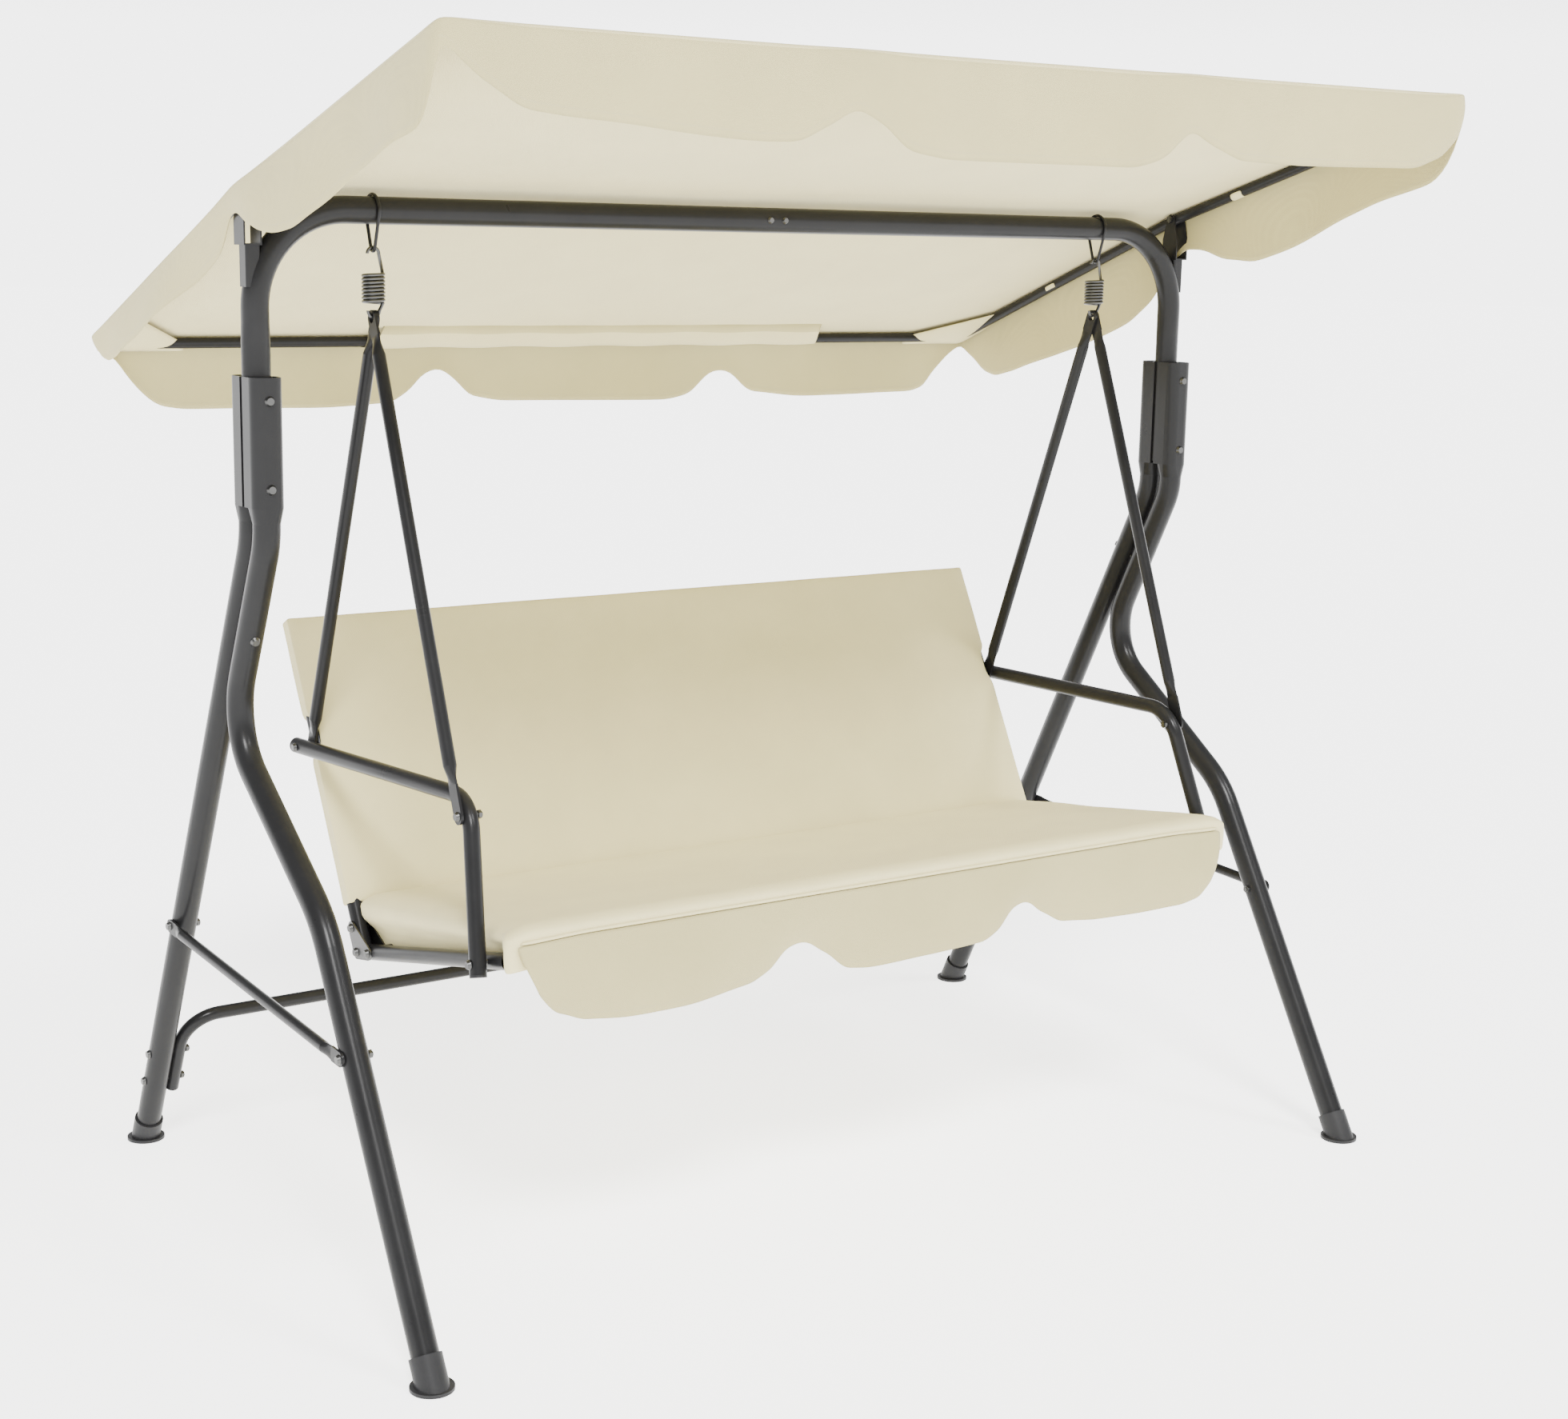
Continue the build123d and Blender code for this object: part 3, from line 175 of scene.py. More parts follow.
# Depth of each valance along its edge, as (place, depth): scalloped lobes with arches between.
FRONT_EDGE = (
    (-0.91, 0.024), (-0.89, 0.038), (-0.852, 0.073), (-0.795, 0.104), (-0.713, 0.110),
    (-0.446, 0.127), (-0.387, 0.126), (-0.345, 0.104), (-0.303, 0.079), (-0.262, 0.096),
    (-0.21, 0.133), (-0.14, 0.140), (0.10, 0.139), (0.191, 0.140), (0.24, 0.128), (0.303, 0.083),
    (0.355, 0.105), (0.413, 0.123), (0.549, 0.125), (0.78, 0.122), (0.845, 0.104), (0.884, 0.074),
    (0.91, 0.032),
)
REAR_EDGE = (
    (-0.91, 0.022), (-0.87, 0.032), (-0.831, 0.081), (-0.795, 0.112), (-0.746, 0.119),
    (-0.507, 0.121), (-0.375, 0.115), (-0.335, 0.092), (-0.308, 0.062), (-0.277, 0.057),
    (-0.253, 0.070), (-0.214, 0.107), (-0.149, 0.117), (0.19, 0.121), (0.245, 0.113),
    (0.298, 0.072), (0.325, 0.067), (0.343, 0.071), (0.39, 0.110), (0.504, 0.121), (0.77, 0.116),
    (0.807, 0.108), (0.840, 0.070), (0.887, 0.034), (0.91, 0.026),
)
LEFT_EDGE = (
    (-0.634, 0.024), (-0.622, 0.060), (-0.604, 0.108), (-0.586, 0.116), (-0.498, 0.110),
    (-0.371, 0.104), (-0.255, 0.114), (-0.20, 0.119), (-0.148, 0.112), (-0.10, 0.094),
    (-0.074, 0.078), (-0.018, 0.046), (0.026, 0.036), (0.042, 0.052), (0.075, 0.070),
    (0.17, 0.074), (0.28, 0.076), (0.376, 0.078), (0.50, 0.070), (0.569, 0.058), (0.60, 0.045),
    (0.634, 0.022),
)
RIGHT_EDGE = (
    (-0.634, 0.032), (-0.622, 0.075), (-0.60, 0.112), (-0.57, 0.124), (-0.476, 0.122),
    (-0.398, 0.126), (-0.243, 0.138), (-0.18, 0.138), (-0.12, 0.118), (-0.061, 0.084),
    (-0.02, 0.072), (0.01, 0.082), (0.071, 0.136), (0.14, 0.150), (0.26, 0.150), (0.334, 0.146),
    (0.44, 0.138), (0.51, 0.128), (0.554, 0.104), (0.60, 0.060), (0.634, 0.026),
)
# Height of the skirt's lower edge along the seat.
SKIRT_EDGE = (
    (-0.68, 0.478), (-0.655, 0.449), (-0.60, 0.434), (-0.50, 0.428), (-0.41, 0.429),
    (-0.29, 0.439), (-0.255, 0.452), (-0.222, 0.482), (-0.20, 0.488), (-0.183, 0.486),
    (-0.152, 0.466), (-0.11, 0.434), (-0.07, 0.430), (0.034, 0.435), (0.15, 0.440),
    (0.179, 0.452), (0.213, 0.486), (0.233, 0.491), (0.249, 0.489), (0.279, 0.467),
    (0.325, 0.444), (0.40, 0.437), (0.49, 0.436), (0.60, 0.440), (0.65, 0.447), (0.68, 0.470),
)


def length_property(name, description, default):
    return FloatProperty(
        name=name, description=description, default=default, unit="LENGTH", precision=4)


def colour_property(name, description, default):
    return FloatVectorProperty(
        name=name, description=description, default=default, subtype="COLOR", min=0, max=1)


def strength_property(name, description, default):
    return FloatProperty(name=name, description=description, default=default)


class SwingCanopySettings(bpy.types.PropertyGroup):
    half_width: length_property(
        "Half width", "Middle to a side edge of the cloth", COVER_HIGH.x + 0.002)
    half_depth: length_property(
        "Half depth", "Beam to the front edge of the cloth", COVER_HIGH.y + 0.005)
    front_z: length_property(
        "Front height", "Cloth height at the front edge", COVER_HIGH.z + 0.002)
    ridge_z: length_property("Ridge height", "Cloth height over the beam", 1.593)
    rear_z: length_property("Rear height", "Cloth height at the rear edge", 1.3515)
    corner: length_property("Corner radius", "Plan radius of the four corners", 0.014)
    drop_scale: strength_property("Valance depth", "Scale of all four valances", 1.0)
    sag: length_property("Sag", "How far the cloth sags between its rails", 0.012)
    ripple: length_property("Ripple", "How far the valances ripple", 0.011)


class SwingBenchSettings(bpy.types.PropertyGroup):
    pad_half_width: length_property(
        "Seat half width", "Middle to a side of the seat pad", PAD_HIGH.x + 0.004)
    pad_depth_front: length_property(
        "Seat front", "Front face of the seat pad", PAD_LOW.y + 0.0005)
    back_half_width: length_property(
        "Back half width", "Middle to a side of the backrest", 0.6985)
    back_half_thickness: length_property(
        "Back half thickness", "Half thickness of the backrest cover", 0.0175)
    skirt_half_width: length_property(
        "Skirt half width", "Middle to a side of the skirt", SKIRT_HIGH.x + 0.002)
    piping_radius: length_property(
        "Piping radius", "Radius of the piping along the seams", 0.0028)


class SwingFinishSettings(bpy.types.PropertyGroup):
    cloth: colour_property("Cloth", "Sand-white woven cloth", (0.55, 0.49, 0.255))
    coat: colour_property("Powder coat", "Dark grey coated steel", (0.012, 0.012, 0.0125))
    zinc: colour_property("Zinc", "Zinc-plated steel", (0.085, 0.085, 0.083))
    cap: colour_property("Plastic", "Black moulded plastic", (0.022, 0.022, 0.023))
    webbing: colour_property("Webbing", "Black woven webbing", (0.05, 0.05, 0.05))


class SwingStageSettings(bpy.types.PropertyGroup):
    floor: colour_property("Floor", "Pale floor", (0.9, 0.9, 0.9))
    key_power: strength_property("Key light", "Strength of the two key lights", 4.6)
    sky_power: strength_property("Sky light", "Strength of the surrounding light", 0.55)
    horizon: strength_property("Horizon", "Brightness of the sky where it meets the floor", 8.5)
    floor_glow: strength_property("Floor glow", "Light the floor gives back", 2.8)


# ------------------------------------------------------------------ meshes
def finish_piece(bm, name, body, slot, finish=None):
    """Turn a bmesh into a finished piece that rides on a body, in its slot's finish or another."""
    bmesh.ops.recalc_face_normals(bm, faces=bm.faces)
    mesh = bpy.data.meshes.new(name)
    bm.to_mesh(mesh)
    bm.free()
    for face in mesh.polygons:
        face.use_smooth = True
    piece = bpy.data.objects.new(name, mesh)
    bpy.context.scene.collection.objects.link(piece)
    mesh.materials.append(MATERIALS[finish or slot])
    if body:
        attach(piece, body)
    return piece


def smooth_surface(piece):
    modifier = piece.modifiers.new("Smooth", "SUBSURF")
    modifier.levels = 1
    modifier.render_levels = 1


def thicken(piece, thickness):
    modifier = piece.modifiers.new("Cloth thickness", "SOLIDIFY")
    modifier.thickness = thickness
    modifier.offset = -1


def block(cuts):
    """A cube from -1 to 1, cut into a grid along its three axes."""
    bm = bmesh.new()
    bmesh.ops.create_cube(bm, size=2)
    for axis, count in enumerate(cuts):
        edges = [edge for edge in bm.edges
                 if abs(edge.verts[0].co[axis] - edge.verts[1].co[axis]) > 1.5]
        bmesh.ops.subdivide_edges(bm, edges=edges, cuts=count, use_grid_fill=True)
    return bm


def patch(bm, hem, columns, rows, place):
    """Add a grid of cloth and move each point to where place(column, row) puts it."""
    made = bmesh.ops.create_grid(bm, x_segments=columns, y_segments=rows, size=1)["verts"]
    for vertex in made:
        column = round((vertex.co.x + 1) * columns / 2)
        row = round((vertex.co.y + 1) * rows / 2)
        vertex.co = place(column, row)
        vertex[hem] = NO_HEM
    return made


def inflate(piece, pressure, cap, steps=18):
    """Puff a closed cushion with a short cloth simulation, outwards only and at most by a cap."""
    start = [(vertex.co.copy(), vertex.normal.copy()) for vertex in piece.data.vertices]
    modifier = piece.modifiers.new("Puff", "CLOTH")
    settings = modifier.settings
    settings.use_pressure = True
    settings.uniform_pressure_force = pressure
    settings.effector_weights.gravity = 0
    settings.quality = 5
    modifier.collision_settings.use_collision = False
    scene = bpy.context.scene
    for step in range(1, steps + 1):
        scene.frame_set(step)
    shaped = piece.evaluated_get(bpy.context.evaluated_depsgraph_get())
    moved = [vertex.co.copy() for vertex in shaped.data.vertices]
    piece.modifiers.remove(modifier)
    scene.frame_set(1)
    for vertex, (old, outward), new in zip(piece.data.vertices, start, moved):
        push = (new - old).dot(outward)
        vertex.co = old + outward * min(max(push, 0.0), cap)
    piece.data.update()


def ring_edges(ring):
    return {edge for vertex in ring for edge in vertex.link_edges
            if edge.other_vert(vertex) in ring}


def tube_along(bm, points, radius, sides=8):
    """Add a round cord through points, closed at both ends."""
    rings = []
    for index, point in enumerate(points):
        ahead = points[min(index + 1, len(points) - 1)] - points[max(index - 1, 0)]
        turn = ahead.to_track_quat("Z", "X").to_matrix().to_4x4()
        ring = bmesh.ops.create_circle(bm, segments=sides, radius=radius, cap_ends=False,
                                       matrix=Matrix.Translation(point) @ turn)["verts"]
        rings.append(ring)
    for near, far in zip(rings, rings[1:]):
        bmesh.ops.bridge_loops(bm, edges=list(ring_edges(near) | ring_edges(far)))
    for ring in (rings[0], rings[-1]):
        bmesh.ops.contextual_create(bm, geom=ring)


def smooth_step(low, high, value):
    share = min(max((value - low) / (high - low), 0.0), 1.0)
    return share * share * (3 - 2 * share)


def curve_at(points, value):
    """Read a curve given as (place, level) pairs, half straight and half eased between them."""
    if value <= points[0][0]:
        return points[0][1]
    for (low, first), (high, second) in zip(points, points[1:]):
        if value <= high:
            share = (value - low) / (high - low)
            return first + (second - first) * (share + smooth_step(low, high, value)) / 2
    return points[-1][1]


def wave_at(phase, roughness, place):
    """A sine wave with some noise on it, for the fall of hanging cloth."""
    return math.sin(phase) + roughness * noise.noise(Vector(place))


# ------------------------------------------------------------------ materials
def link(tree, source, target):
    tree.links.new(source, target)


def add_node(tree, kind, place, **inputs):
    """Add a shader node at a grid place, with values for its named inputs."""
    node = tree.nodes.new(kind)
    node.location = (place[0] * 200, place[1] * 200)
    for key, value in inputs.items():
        node.inputs[key.replace("_", " ")].default_value = value
    return node


def new_group(name, inputs, outputs):
    """Start a node group with named float inputs and outputs."""
    tree = bpy.data.node_groups.new(name, "ShaderNodeTree")
    sockets = tree.interface
    sockets.new_socket("Vector", in_out="INPUT", socket_type="NodeSocketVector")
    for label, value in inputs:
        socket = sockets.new_socket(label, in_out="INPUT", socket_type="NodeSocketFloat")
        socket.default_value = value
    for label in outputs:
        sockets.new_socket(label, in_out="OUTPUT", socket_type="NodeSocketFloat")
    return tree, tree.nodes.new("NodeGroupInput"), tree.nodes.new("NodeGroupOutput")


def math_node(tree, operation, place, *values):
    """Add a math node; each value is a number or a socket to read."""
    node = add_node(tree, "ShaderNodeMath", place)
    node.operation = operation
    for socket, value in zip(node.inputs, values):
        if hasattr(value, "is_linked"):
            link(tree, value, socket)
        else:
            socket.default_value = value
    return node.outputs[0]


def mix_colour(tree, blend, mask, base, over):
    """Lay a fixed colour over a colour socket where the mask is high."""
    node = tree.nodes.new("ShaderNodeMix")
    node.data_type = "RGBA"
    node.blend_type = blend
    colours = [socket for socket in node.inputs if socket.type == "RGBA"]
    colours[1].default_value = (*over, 1)
    link(tree, mask, node.inputs["Factor"])
    link(tree, base, colours[0])
    return next(socket for socket in node.outputs if socket.type == "RGBA")


def build_weave_group():
    """Crossed threads: a height for bump, and a mask that varies with the yarn."""
    tree, entry, leave = new_group(
        "cloth_weave", (("Threads", 600.0), ("Slub", 9.0)), ("Height", "Mottle"))
    scaled = tree.nodes.new("ShaderNodeVectorMath")
    scaled.operation = "SCALE"
    link(tree, entry.outputs["Vector"], scaled.inputs[0])
    link(tree, entry.outputs["Threads"], scaled.inputs["Scale"])
    split = tree.nodes.new("ShaderNodeSeparateXYZ")
    link(tree, scaled.outputs[0], split.inputs[0])
    depth = math_node(tree, "ADD", (2, 1), split.outputs["Y"], split.outputs["Z"])
    warp = math_node(tree, "SINE", (3, 0), split.outputs["X"])
    weft = math_node(tree, "SINE", (3, 1), depth)
    height = math_node(tree, "MULTIPLY", (4, 0), warp, weft)
    slub = add_node(tree, "ShaderNodeTexNoise", (3, 2), Detail=3.0, Roughness=0.6)
    link(tree, entry.outputs["Vector"], slub.inputs["Vector"])
    link(tree, entry.outputs["Slub"], slub.inputs["Scale"])
    link(tree, height, leave.inputs["Height"])
    link(tree, slub.outputs["Fac"], leave.inputs["Mottle"])
    return tree


def build_speckle_group():
    """Fine grain and broad patches, shared by the coated, plated and moulded finishes."""
    tree, entry, leave = new_group(
        "surface_speckle", (("Grain", 900.0), ("Patch", 14.0)), ("Grain", "Patch"))
    for row, label in enumerate(("Grain", "Patch")):
        texture = add_node(tree, "ShaderNodeTexNoise", (2, row), Detail=4.0, Roughness=0.55)
        link(tree, entry.outputs["Vector"], texture.inputs["Vector"])
        link(tree, entry.outputs[label], texture.inputs["Scale"])
        link(tree, texture.outputs["Fac"], leave.inputs[label])
    return tree


def start_material(name, group):
    """A material with its shader, object coordinates and one shared group."""
    material = bpy.data.materials.new(name)
    material.use_nodes = True
    tree = material.node_tree
    coordinates = add_node(tree, "ShaderNodeTexCoord", (-6, 0))
    effect = tree.nodes.new("ShaderNodeGroup")
    effect.node_tree = group
    effect.location = (-900, 0)
    link(tree, coordinates.outputs["Object"], effect.inputs["Vector"])
    return material, tree, tree.nodes["Principled BSDF"], effect


def set_inputs(node, **values):
    for key, value in values.items():
        node.inputs[key.replace("_", " ")].default_value = value


def tint(tree, mask, low, high, dark, light):
    """A colour that runs from dark to light over a mask."""
    ramp = tree.nodes.new("ShaderNodeValToRGB")
    for end, place, colour in zip(ramp.color_ramp.elements, (low, high), (dark, light)):
        end.position = place
        end.color = (*colour, 1)
    ramp.location = (-500, 200)
    link(tree, mask, ramp.inputs["Fac"])
    return ramp.outputs["Color"]


def bump(tree, shader, height, distance, strength):
    node = add_node(tree, "ShaderNodeBump", (-2, -2), Strength=strength, Distance=distance)
    link(tree, height, node.inputs["Height"])
    link(tree, node.outputs["Normal"], shader.inputs["Normal"])


def scale_colour(colour, factor):
    return tuple(min(channel * factor, 1.0) for channel in colour)


def add_hem(tree, colour, shade, height):
    """Stitch a doubled hem, and darken cloth that hangs with painted shade."""
    attribute = tree.nodes.new("ShaderNodeAttribute")
    attribute.attribute_name = "hem"
    distance = attribute.outputs["Fac"]
    run = math_node(tree, "COMPARE", (-5, -3), distance, STITCH_PLACE, STITCH_HALF_WIDTH)
    doubled = math_node(tree, "LESS_THAN", (-5, -4), distance, HEM_DEPTH)
    # Painted shade: cloth that hangs is multiplied by a darker colour.
    hanging = math_node(tree, "LESS_THAN", (-5, -5), distance, HANGING_HEM)
    shade = mix_colour(tree, "MULTIPLY", hanging, shade, HANGING_CLOTH_PAINTED_SHADE)
    thread = math_node(tree, "MULTIPLY", (-4, -3), run, 0.6)
    shade = mix_colour(tree, "MIX", thread, shade, scale_colour(colour, 0.72))
    fold = math_node(tree, "MULTIPLY", (-4, -4), doubled, 3.0)
    groove = math_node(tree, "MULTIPLY", (-4, -5), run, -4.0)
    relief = math_node(tree, "ADD", (-3, -5), fold, groove)
    return shade, math_node(tree, "ADD", (-3, -4), height, relief)


def cloth_material(name, colour, weave, threads, stitched):
    """Woven cloth, with a stitched and doubled hem, and painted shade on hanging cloth, where the
    piece has a hem attribute.
    """
    material, tree, shader, effect = start_material(name, weave)
    effect.inputs["Threads"].default_value = threads
    mottle, height = effect.outputs["Mottle"], effect.outputs["Height"]
    shade = tint(tree, mottle, 0.3, 0.7, scale_colour(colour, 0.955), scale_colour(colour, 1.02))
    if stitched:
        shade, height = add_hem(tree, colour, shade, height)
    link(tree, shade, shader.inputs["Base Color"])
    rough = math_node(tree, "MULTIPLY_ADD", (-3, 1), mottle, 0.12, 0.76)
    link(tree, rough, shader.inputs["Roughness"])
    set_inputs(shader, Sheen_Weight=0.15, Sheen_Roughness=0.5, Specular_IOR_Level=0.25)
    bump(tree, shader, height, 0.0006, 0.35)
    return material


def hard_material(name, colour, speckle, metallic, rough, coat, grain, spread, relief):
    """A coated, plated or moulded finish with grain, patches of sheen and slight colour change."""
    material, tree, shader, effect = start_material(name, speckle)
    effect.inputs["Grain"].default_value = grain
    patches = effect.outputs["Patch"]
    dark, light = scale_colour(colour, 1 - spread), scale_colour(colour, 1 + spread)
    link(tree, tint(tree, patches, 0.35, 0.65, dark, light), shader.inputs["Base Color"])
    gloss = math_node(tree, "MULTIPLY_ADD", (-3, 1), patches, 0.14, rough - 0.07)
    link(tree, gloss, shader.inputs["Roughness"])
    set_inputs(shader, Metallic=metallic, Coat_Weight=coat, Coat_Roughness=0.12,
               Specular_IOR_Level=0.12)
    bump(tree, shader, effect.outputs["Grain"], 0.0002, relief)
    return material


def build_materials(finish):
    """Make every finish from the colours that are set."""
    weave = build_weave_group()
    speckle = build_speckle_group()
    for slot, name, setting, factor, threads, stitched in CLOTHS:
        colour = scale_colour(getattr(finish, setting), factor)
        MATERIALS[slot] = cloth_material(name, colour, weave, threads, stitched)
    for slot, name, setting, factor, values in HARD_FINISHES:
        colour = scale_colour(getattr(finish, setting), factor)
        MATERIALS[slot] = hard_material(name, colour, speckle, *values)


# ------------------------------------------------------------------ canopy
def cloth_height(settings, y):
    end_z = settings.front_z if y < 0 else settings.rear_z
    return settings.ridge_z + (end_z - settings.ridge_z) * abs(y) / settings.half_depth


def valance_drop(settings, x, y, on_side):
    """How far the cloth hangs at a point of the canopy's edge."""
    if on_side:
        return curve_at(RIGHT_EDGE if x > 0 else LEFT_EDGE, y) * settings.drop_scale
    return curve_at(FRONT_EDGE if y < 0 else REAR_EDGE, x) * settings.drop_scale


class SWING_OT_canopy(bpy.types.Operator):
    """Make the canopy cloth: one sheet that runs over the rails into four scalloped valances"""

    bl_idname = "swing.canopy"
    bl_label = "Make canopy cloth"

    def execute(self, context):
        settings = context.scene.swing_canopy
        bm = bmesh.new()
        hem = bm.verts.layers.float.new("hem")
        columns, rows = CANOPY_GRID
        bmesh.ops.create_grid(bm, x_segments=columns, y_segments=rows, size=1)
        top = list(bm.verts)
        for vertex in top:
            vertex.co.x *= settings.half_width
            vertex.co.y *= settings.half_depth
            vertex[hem] = NO_HEM
        level = {vertex: vertex.co.copy() for vertex in top if vertex.is_boundary}
        for row in range(1, VALANCE_ROWS + 1):
            edges = [edge for edge in bm.edges if edge.is_boundary]
            made = bmesh.ops.extrude_edge_only(bm, edges=edges)["geom"]
            above = level
            level = {}
            for vertex in made:
                if isinstance(vertex, bmesh.types.BMVert):
                    for edge in vertex.link_edges:
                        other = edge.other_vert(vertex)
                        if other in above:
                            level[vertex] = above[other]
            for vertex, base in level.items():
                self.hang(settings, vertex, base, row / VALANCE_ROWS, hem)
        for vertex in top:
            self.spread(settings, vertex)
        piece = finish_piece(bm, "canopy_cloth", "canopy", "canopy_fabric")
        if sum(face.area * face.normal.z for face in piece.data.polygons) < 0:
            piece.data.flip_normals()
        smooth_surface(piece)
        thicken(piece, FABRIC_THICKNESS)
        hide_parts("canopy_cover")
        return {"FINISHED"}

    @staticmethod
    def round_plan(settings, x, y):
        """Pull a point near a corner of the plan onto its rounding."""
        straight_x = settings.half_width - settings.corner
        straight_y = settings.half_depth - settings.corner
        over_x, over_y = abs(x) - straight_x, abs(y) - straight_y
        if over_x > 0 and over_y > 0:
            share = max(over_x, over_y) / math.hypot(over_x, over_y)
            x = math.copysign(straight_x + over_x * share, x)
            y = math.copysign(straight_y + over_y * share, y)
        return x, y

    def spread(self, settings, vertex):
        """Lay a point of the top over the rails, sagging between them."""
        x, y = self.round_plan(settings, vertex.co.x, vertex.co.y)
        share_x = min(abs(x) / settings.half_width, 1.0)
        share_y = min(abs(y) / settings.half_depth, 1.0)
        sag = settings.sag * math.sin(math.pi * share_y) * (1 - share_x**4)
        crease = CREASE_HEIGHT * noise.noise(Vector((x * 3.1, y * 4.0, 0.0)))
        crease *= (1 - share_x**6) * (1 - share_y**6)
        vertex.co = (x, y, cloth_height(settings, y) - sag + crease)

    def hang(self, settings, vertex, base, share, hem):
        """Hang a point of a valance below its place on the edge."""
        width, depth = settings.half_width, settings.half_depth
        on_side = abs(base.x) / width > abs(base.y) / depth - 1e-6
        drop = valance_drop(settings, base.x, base.y, on_side)
        outward = Vector((
            math.copysign(smooth_step(width - CORNER_BLEND, width, abs(base.x)), base.x),
            math.copysign(smooth_step(depth - CORNER_BLEND, depth, abs(base.y)), base.y),
            0,
        ))
        if outward.length:
            outward.normalize()
        phase = (base.x * 5.5 + base.y * 6.5) * 2.1 + 0.8
        wave = wave_at(phase, 0.7, (base.x * 9, base.y * 9, 2.0))
        belly = VALANCE_BELLY * math.sin(share * math.pi)
        flare = settings.ripple * share * (wave * 0.9 - 0.25) + belly
        x, y = self.round_plan(settings, base.x, base.y)
        vertex.co = Vector((x, y, cloth_height(settings, y) - drop * share)) + outward * flare
        vertex[hem] = drop * (1 - share)


class SWING_OT_canopy_ties(bpy.types.Operator):
    """Make the sleeve on the rear rail, the corner pockets and the straps that hold the canopy"""

    bl_idname = "swing.canopy_ties"
    bl_label = "Make canopy sleeve and ties"

    def execute(self, context):
        settings = context.scene.swing_canopy
        bm = bmesh.new()
        hem = bm.verts.layers.float.new("hem")
        rail = Vector((0, RAIL_HIGH.y - RAIL_RADIUS, RAIL_LOW.z + RAIL_RADIUS))
        self.sleeve(bm, hem, settings, rail)
        for side in (-1, 1):
            self.corner_pocket(bm, hem, settings, rail, side)
        for side in (-1, 1):
            for y in STRAP_PLACES:
                self.strap(bm, hem, settings, side * STRAP_X, y)
        piece = finish_piece(bm, "canopy_sleeve", "canopy", "canopy_fabric")
        smooth_surface(piece)
        thicken(piece, SLEEVE_THICKNESS)
        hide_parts("canopy_ties")
        return {"FINISHED"}

    @staticmethod
    def sleeve(bm, hem, settings, rail):
        """A strip sewn to the cloth in front of the rear rail and passed under it."""
        last = len(SLEEVE_PROFILE) - 1

        def place(step, index):
            behind, lift = SLEEVE_PROFILE[step]
            x = SLEEVE_START + SLEEVE_LENGTH * index / SLEEVE_COLUMNS
            y = rail.y + behind
            if lift is None:
                z = cloth_height(settings, y) - SLEEVE_BELOW_CLOTH
            else:
                z = rail.z + lift
            z += SLEEVE_RIPPLE * math.sin(x * 37)
            lean = SLEEVE_END_LEAN * (1 - step / last)
            if index == 0:
                x += lean
            elif index == SLEEVE_COLUMNS:
                x -= lean
            return x, y, z

        made = patch(bm, hem, last, SLEEVE_COLUMNS, place)
        for vertex in made[::len(SLEEVE_PROFILE)]:
            vertex[hem] = STITCH_PLACE

    @staticmethod
    def corner_pocket(bm, hem, settings, rail, side):
        """A three-cornered patch that holds the rear corner of the rails."""

        def place(step, index):
            share = index / POCKET_COLUMNS
            down = step / POCKET_ROWS
            y = rail.y + POCKET_REAR - POCKET_SIZE * share * down
            z = cloth_height(settings, y) - POCKET_BELOW_CLOTH + POCKET_RISE * down**3
            return side * (POCKET_CORNER_X - POCKET_SIZE * (1 - share)), y, z

        patch(bm, hem, POCKET_ROWS, POCKET_COLUMNS, place)
        bmesh.ops.remove_doubles(bm, verts=bm.verts, dist=POCKET_MERGE)

    @staticmethod
    def strap(bm, hem, settings, x, y):
        """A cloth strap round a side rail, sewn to the cloth on both sides."""

        def place(step, index):
            across = y + STRAP_CUTS[index]
            angle = math.pi + math.pi * step / STRAP_STEPS
            middle = cloth_height(settings, across) - STRAP_DROP
            return (x + STRAP_REACH * 0.95 * math.cos(angle), across,
                    middle + STRAP_DEPTH * math.sin(angle))

        patch(bm, hem, STRAP_STEPS, len(STRAP_CUTS) - 1, place)


# ------------------------------------------------------------------ springs
class SWING_OT_springs(bpy.types.Operator):
    """Make the two coil springs, which stretch between the rings and the arms"""

    bl_idname = "swing.springs"
    bl_label = "Make springs"

    def execute(self, context):
        for side in ("left", "right"):
            node = f"spring_{side}"
            bm = bmesh.new()
            bm.from_mesh(NODES[node].data)
            bmesh.ops.remove_doubles(bm, verts=bm.verts, dist=SPRING_MERGE)
            piece = finish_piece(bm, f"coil_{side}", None, "zinc_steel")
            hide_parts(node)
            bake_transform(piece)
        return {"FINISHED"}


# ------------------------------------------------------------------ bench
def seat_height(y):
    return SEAT_PIN[1] - SEAT_SLOPE * (y - SEAT_PIN[0])


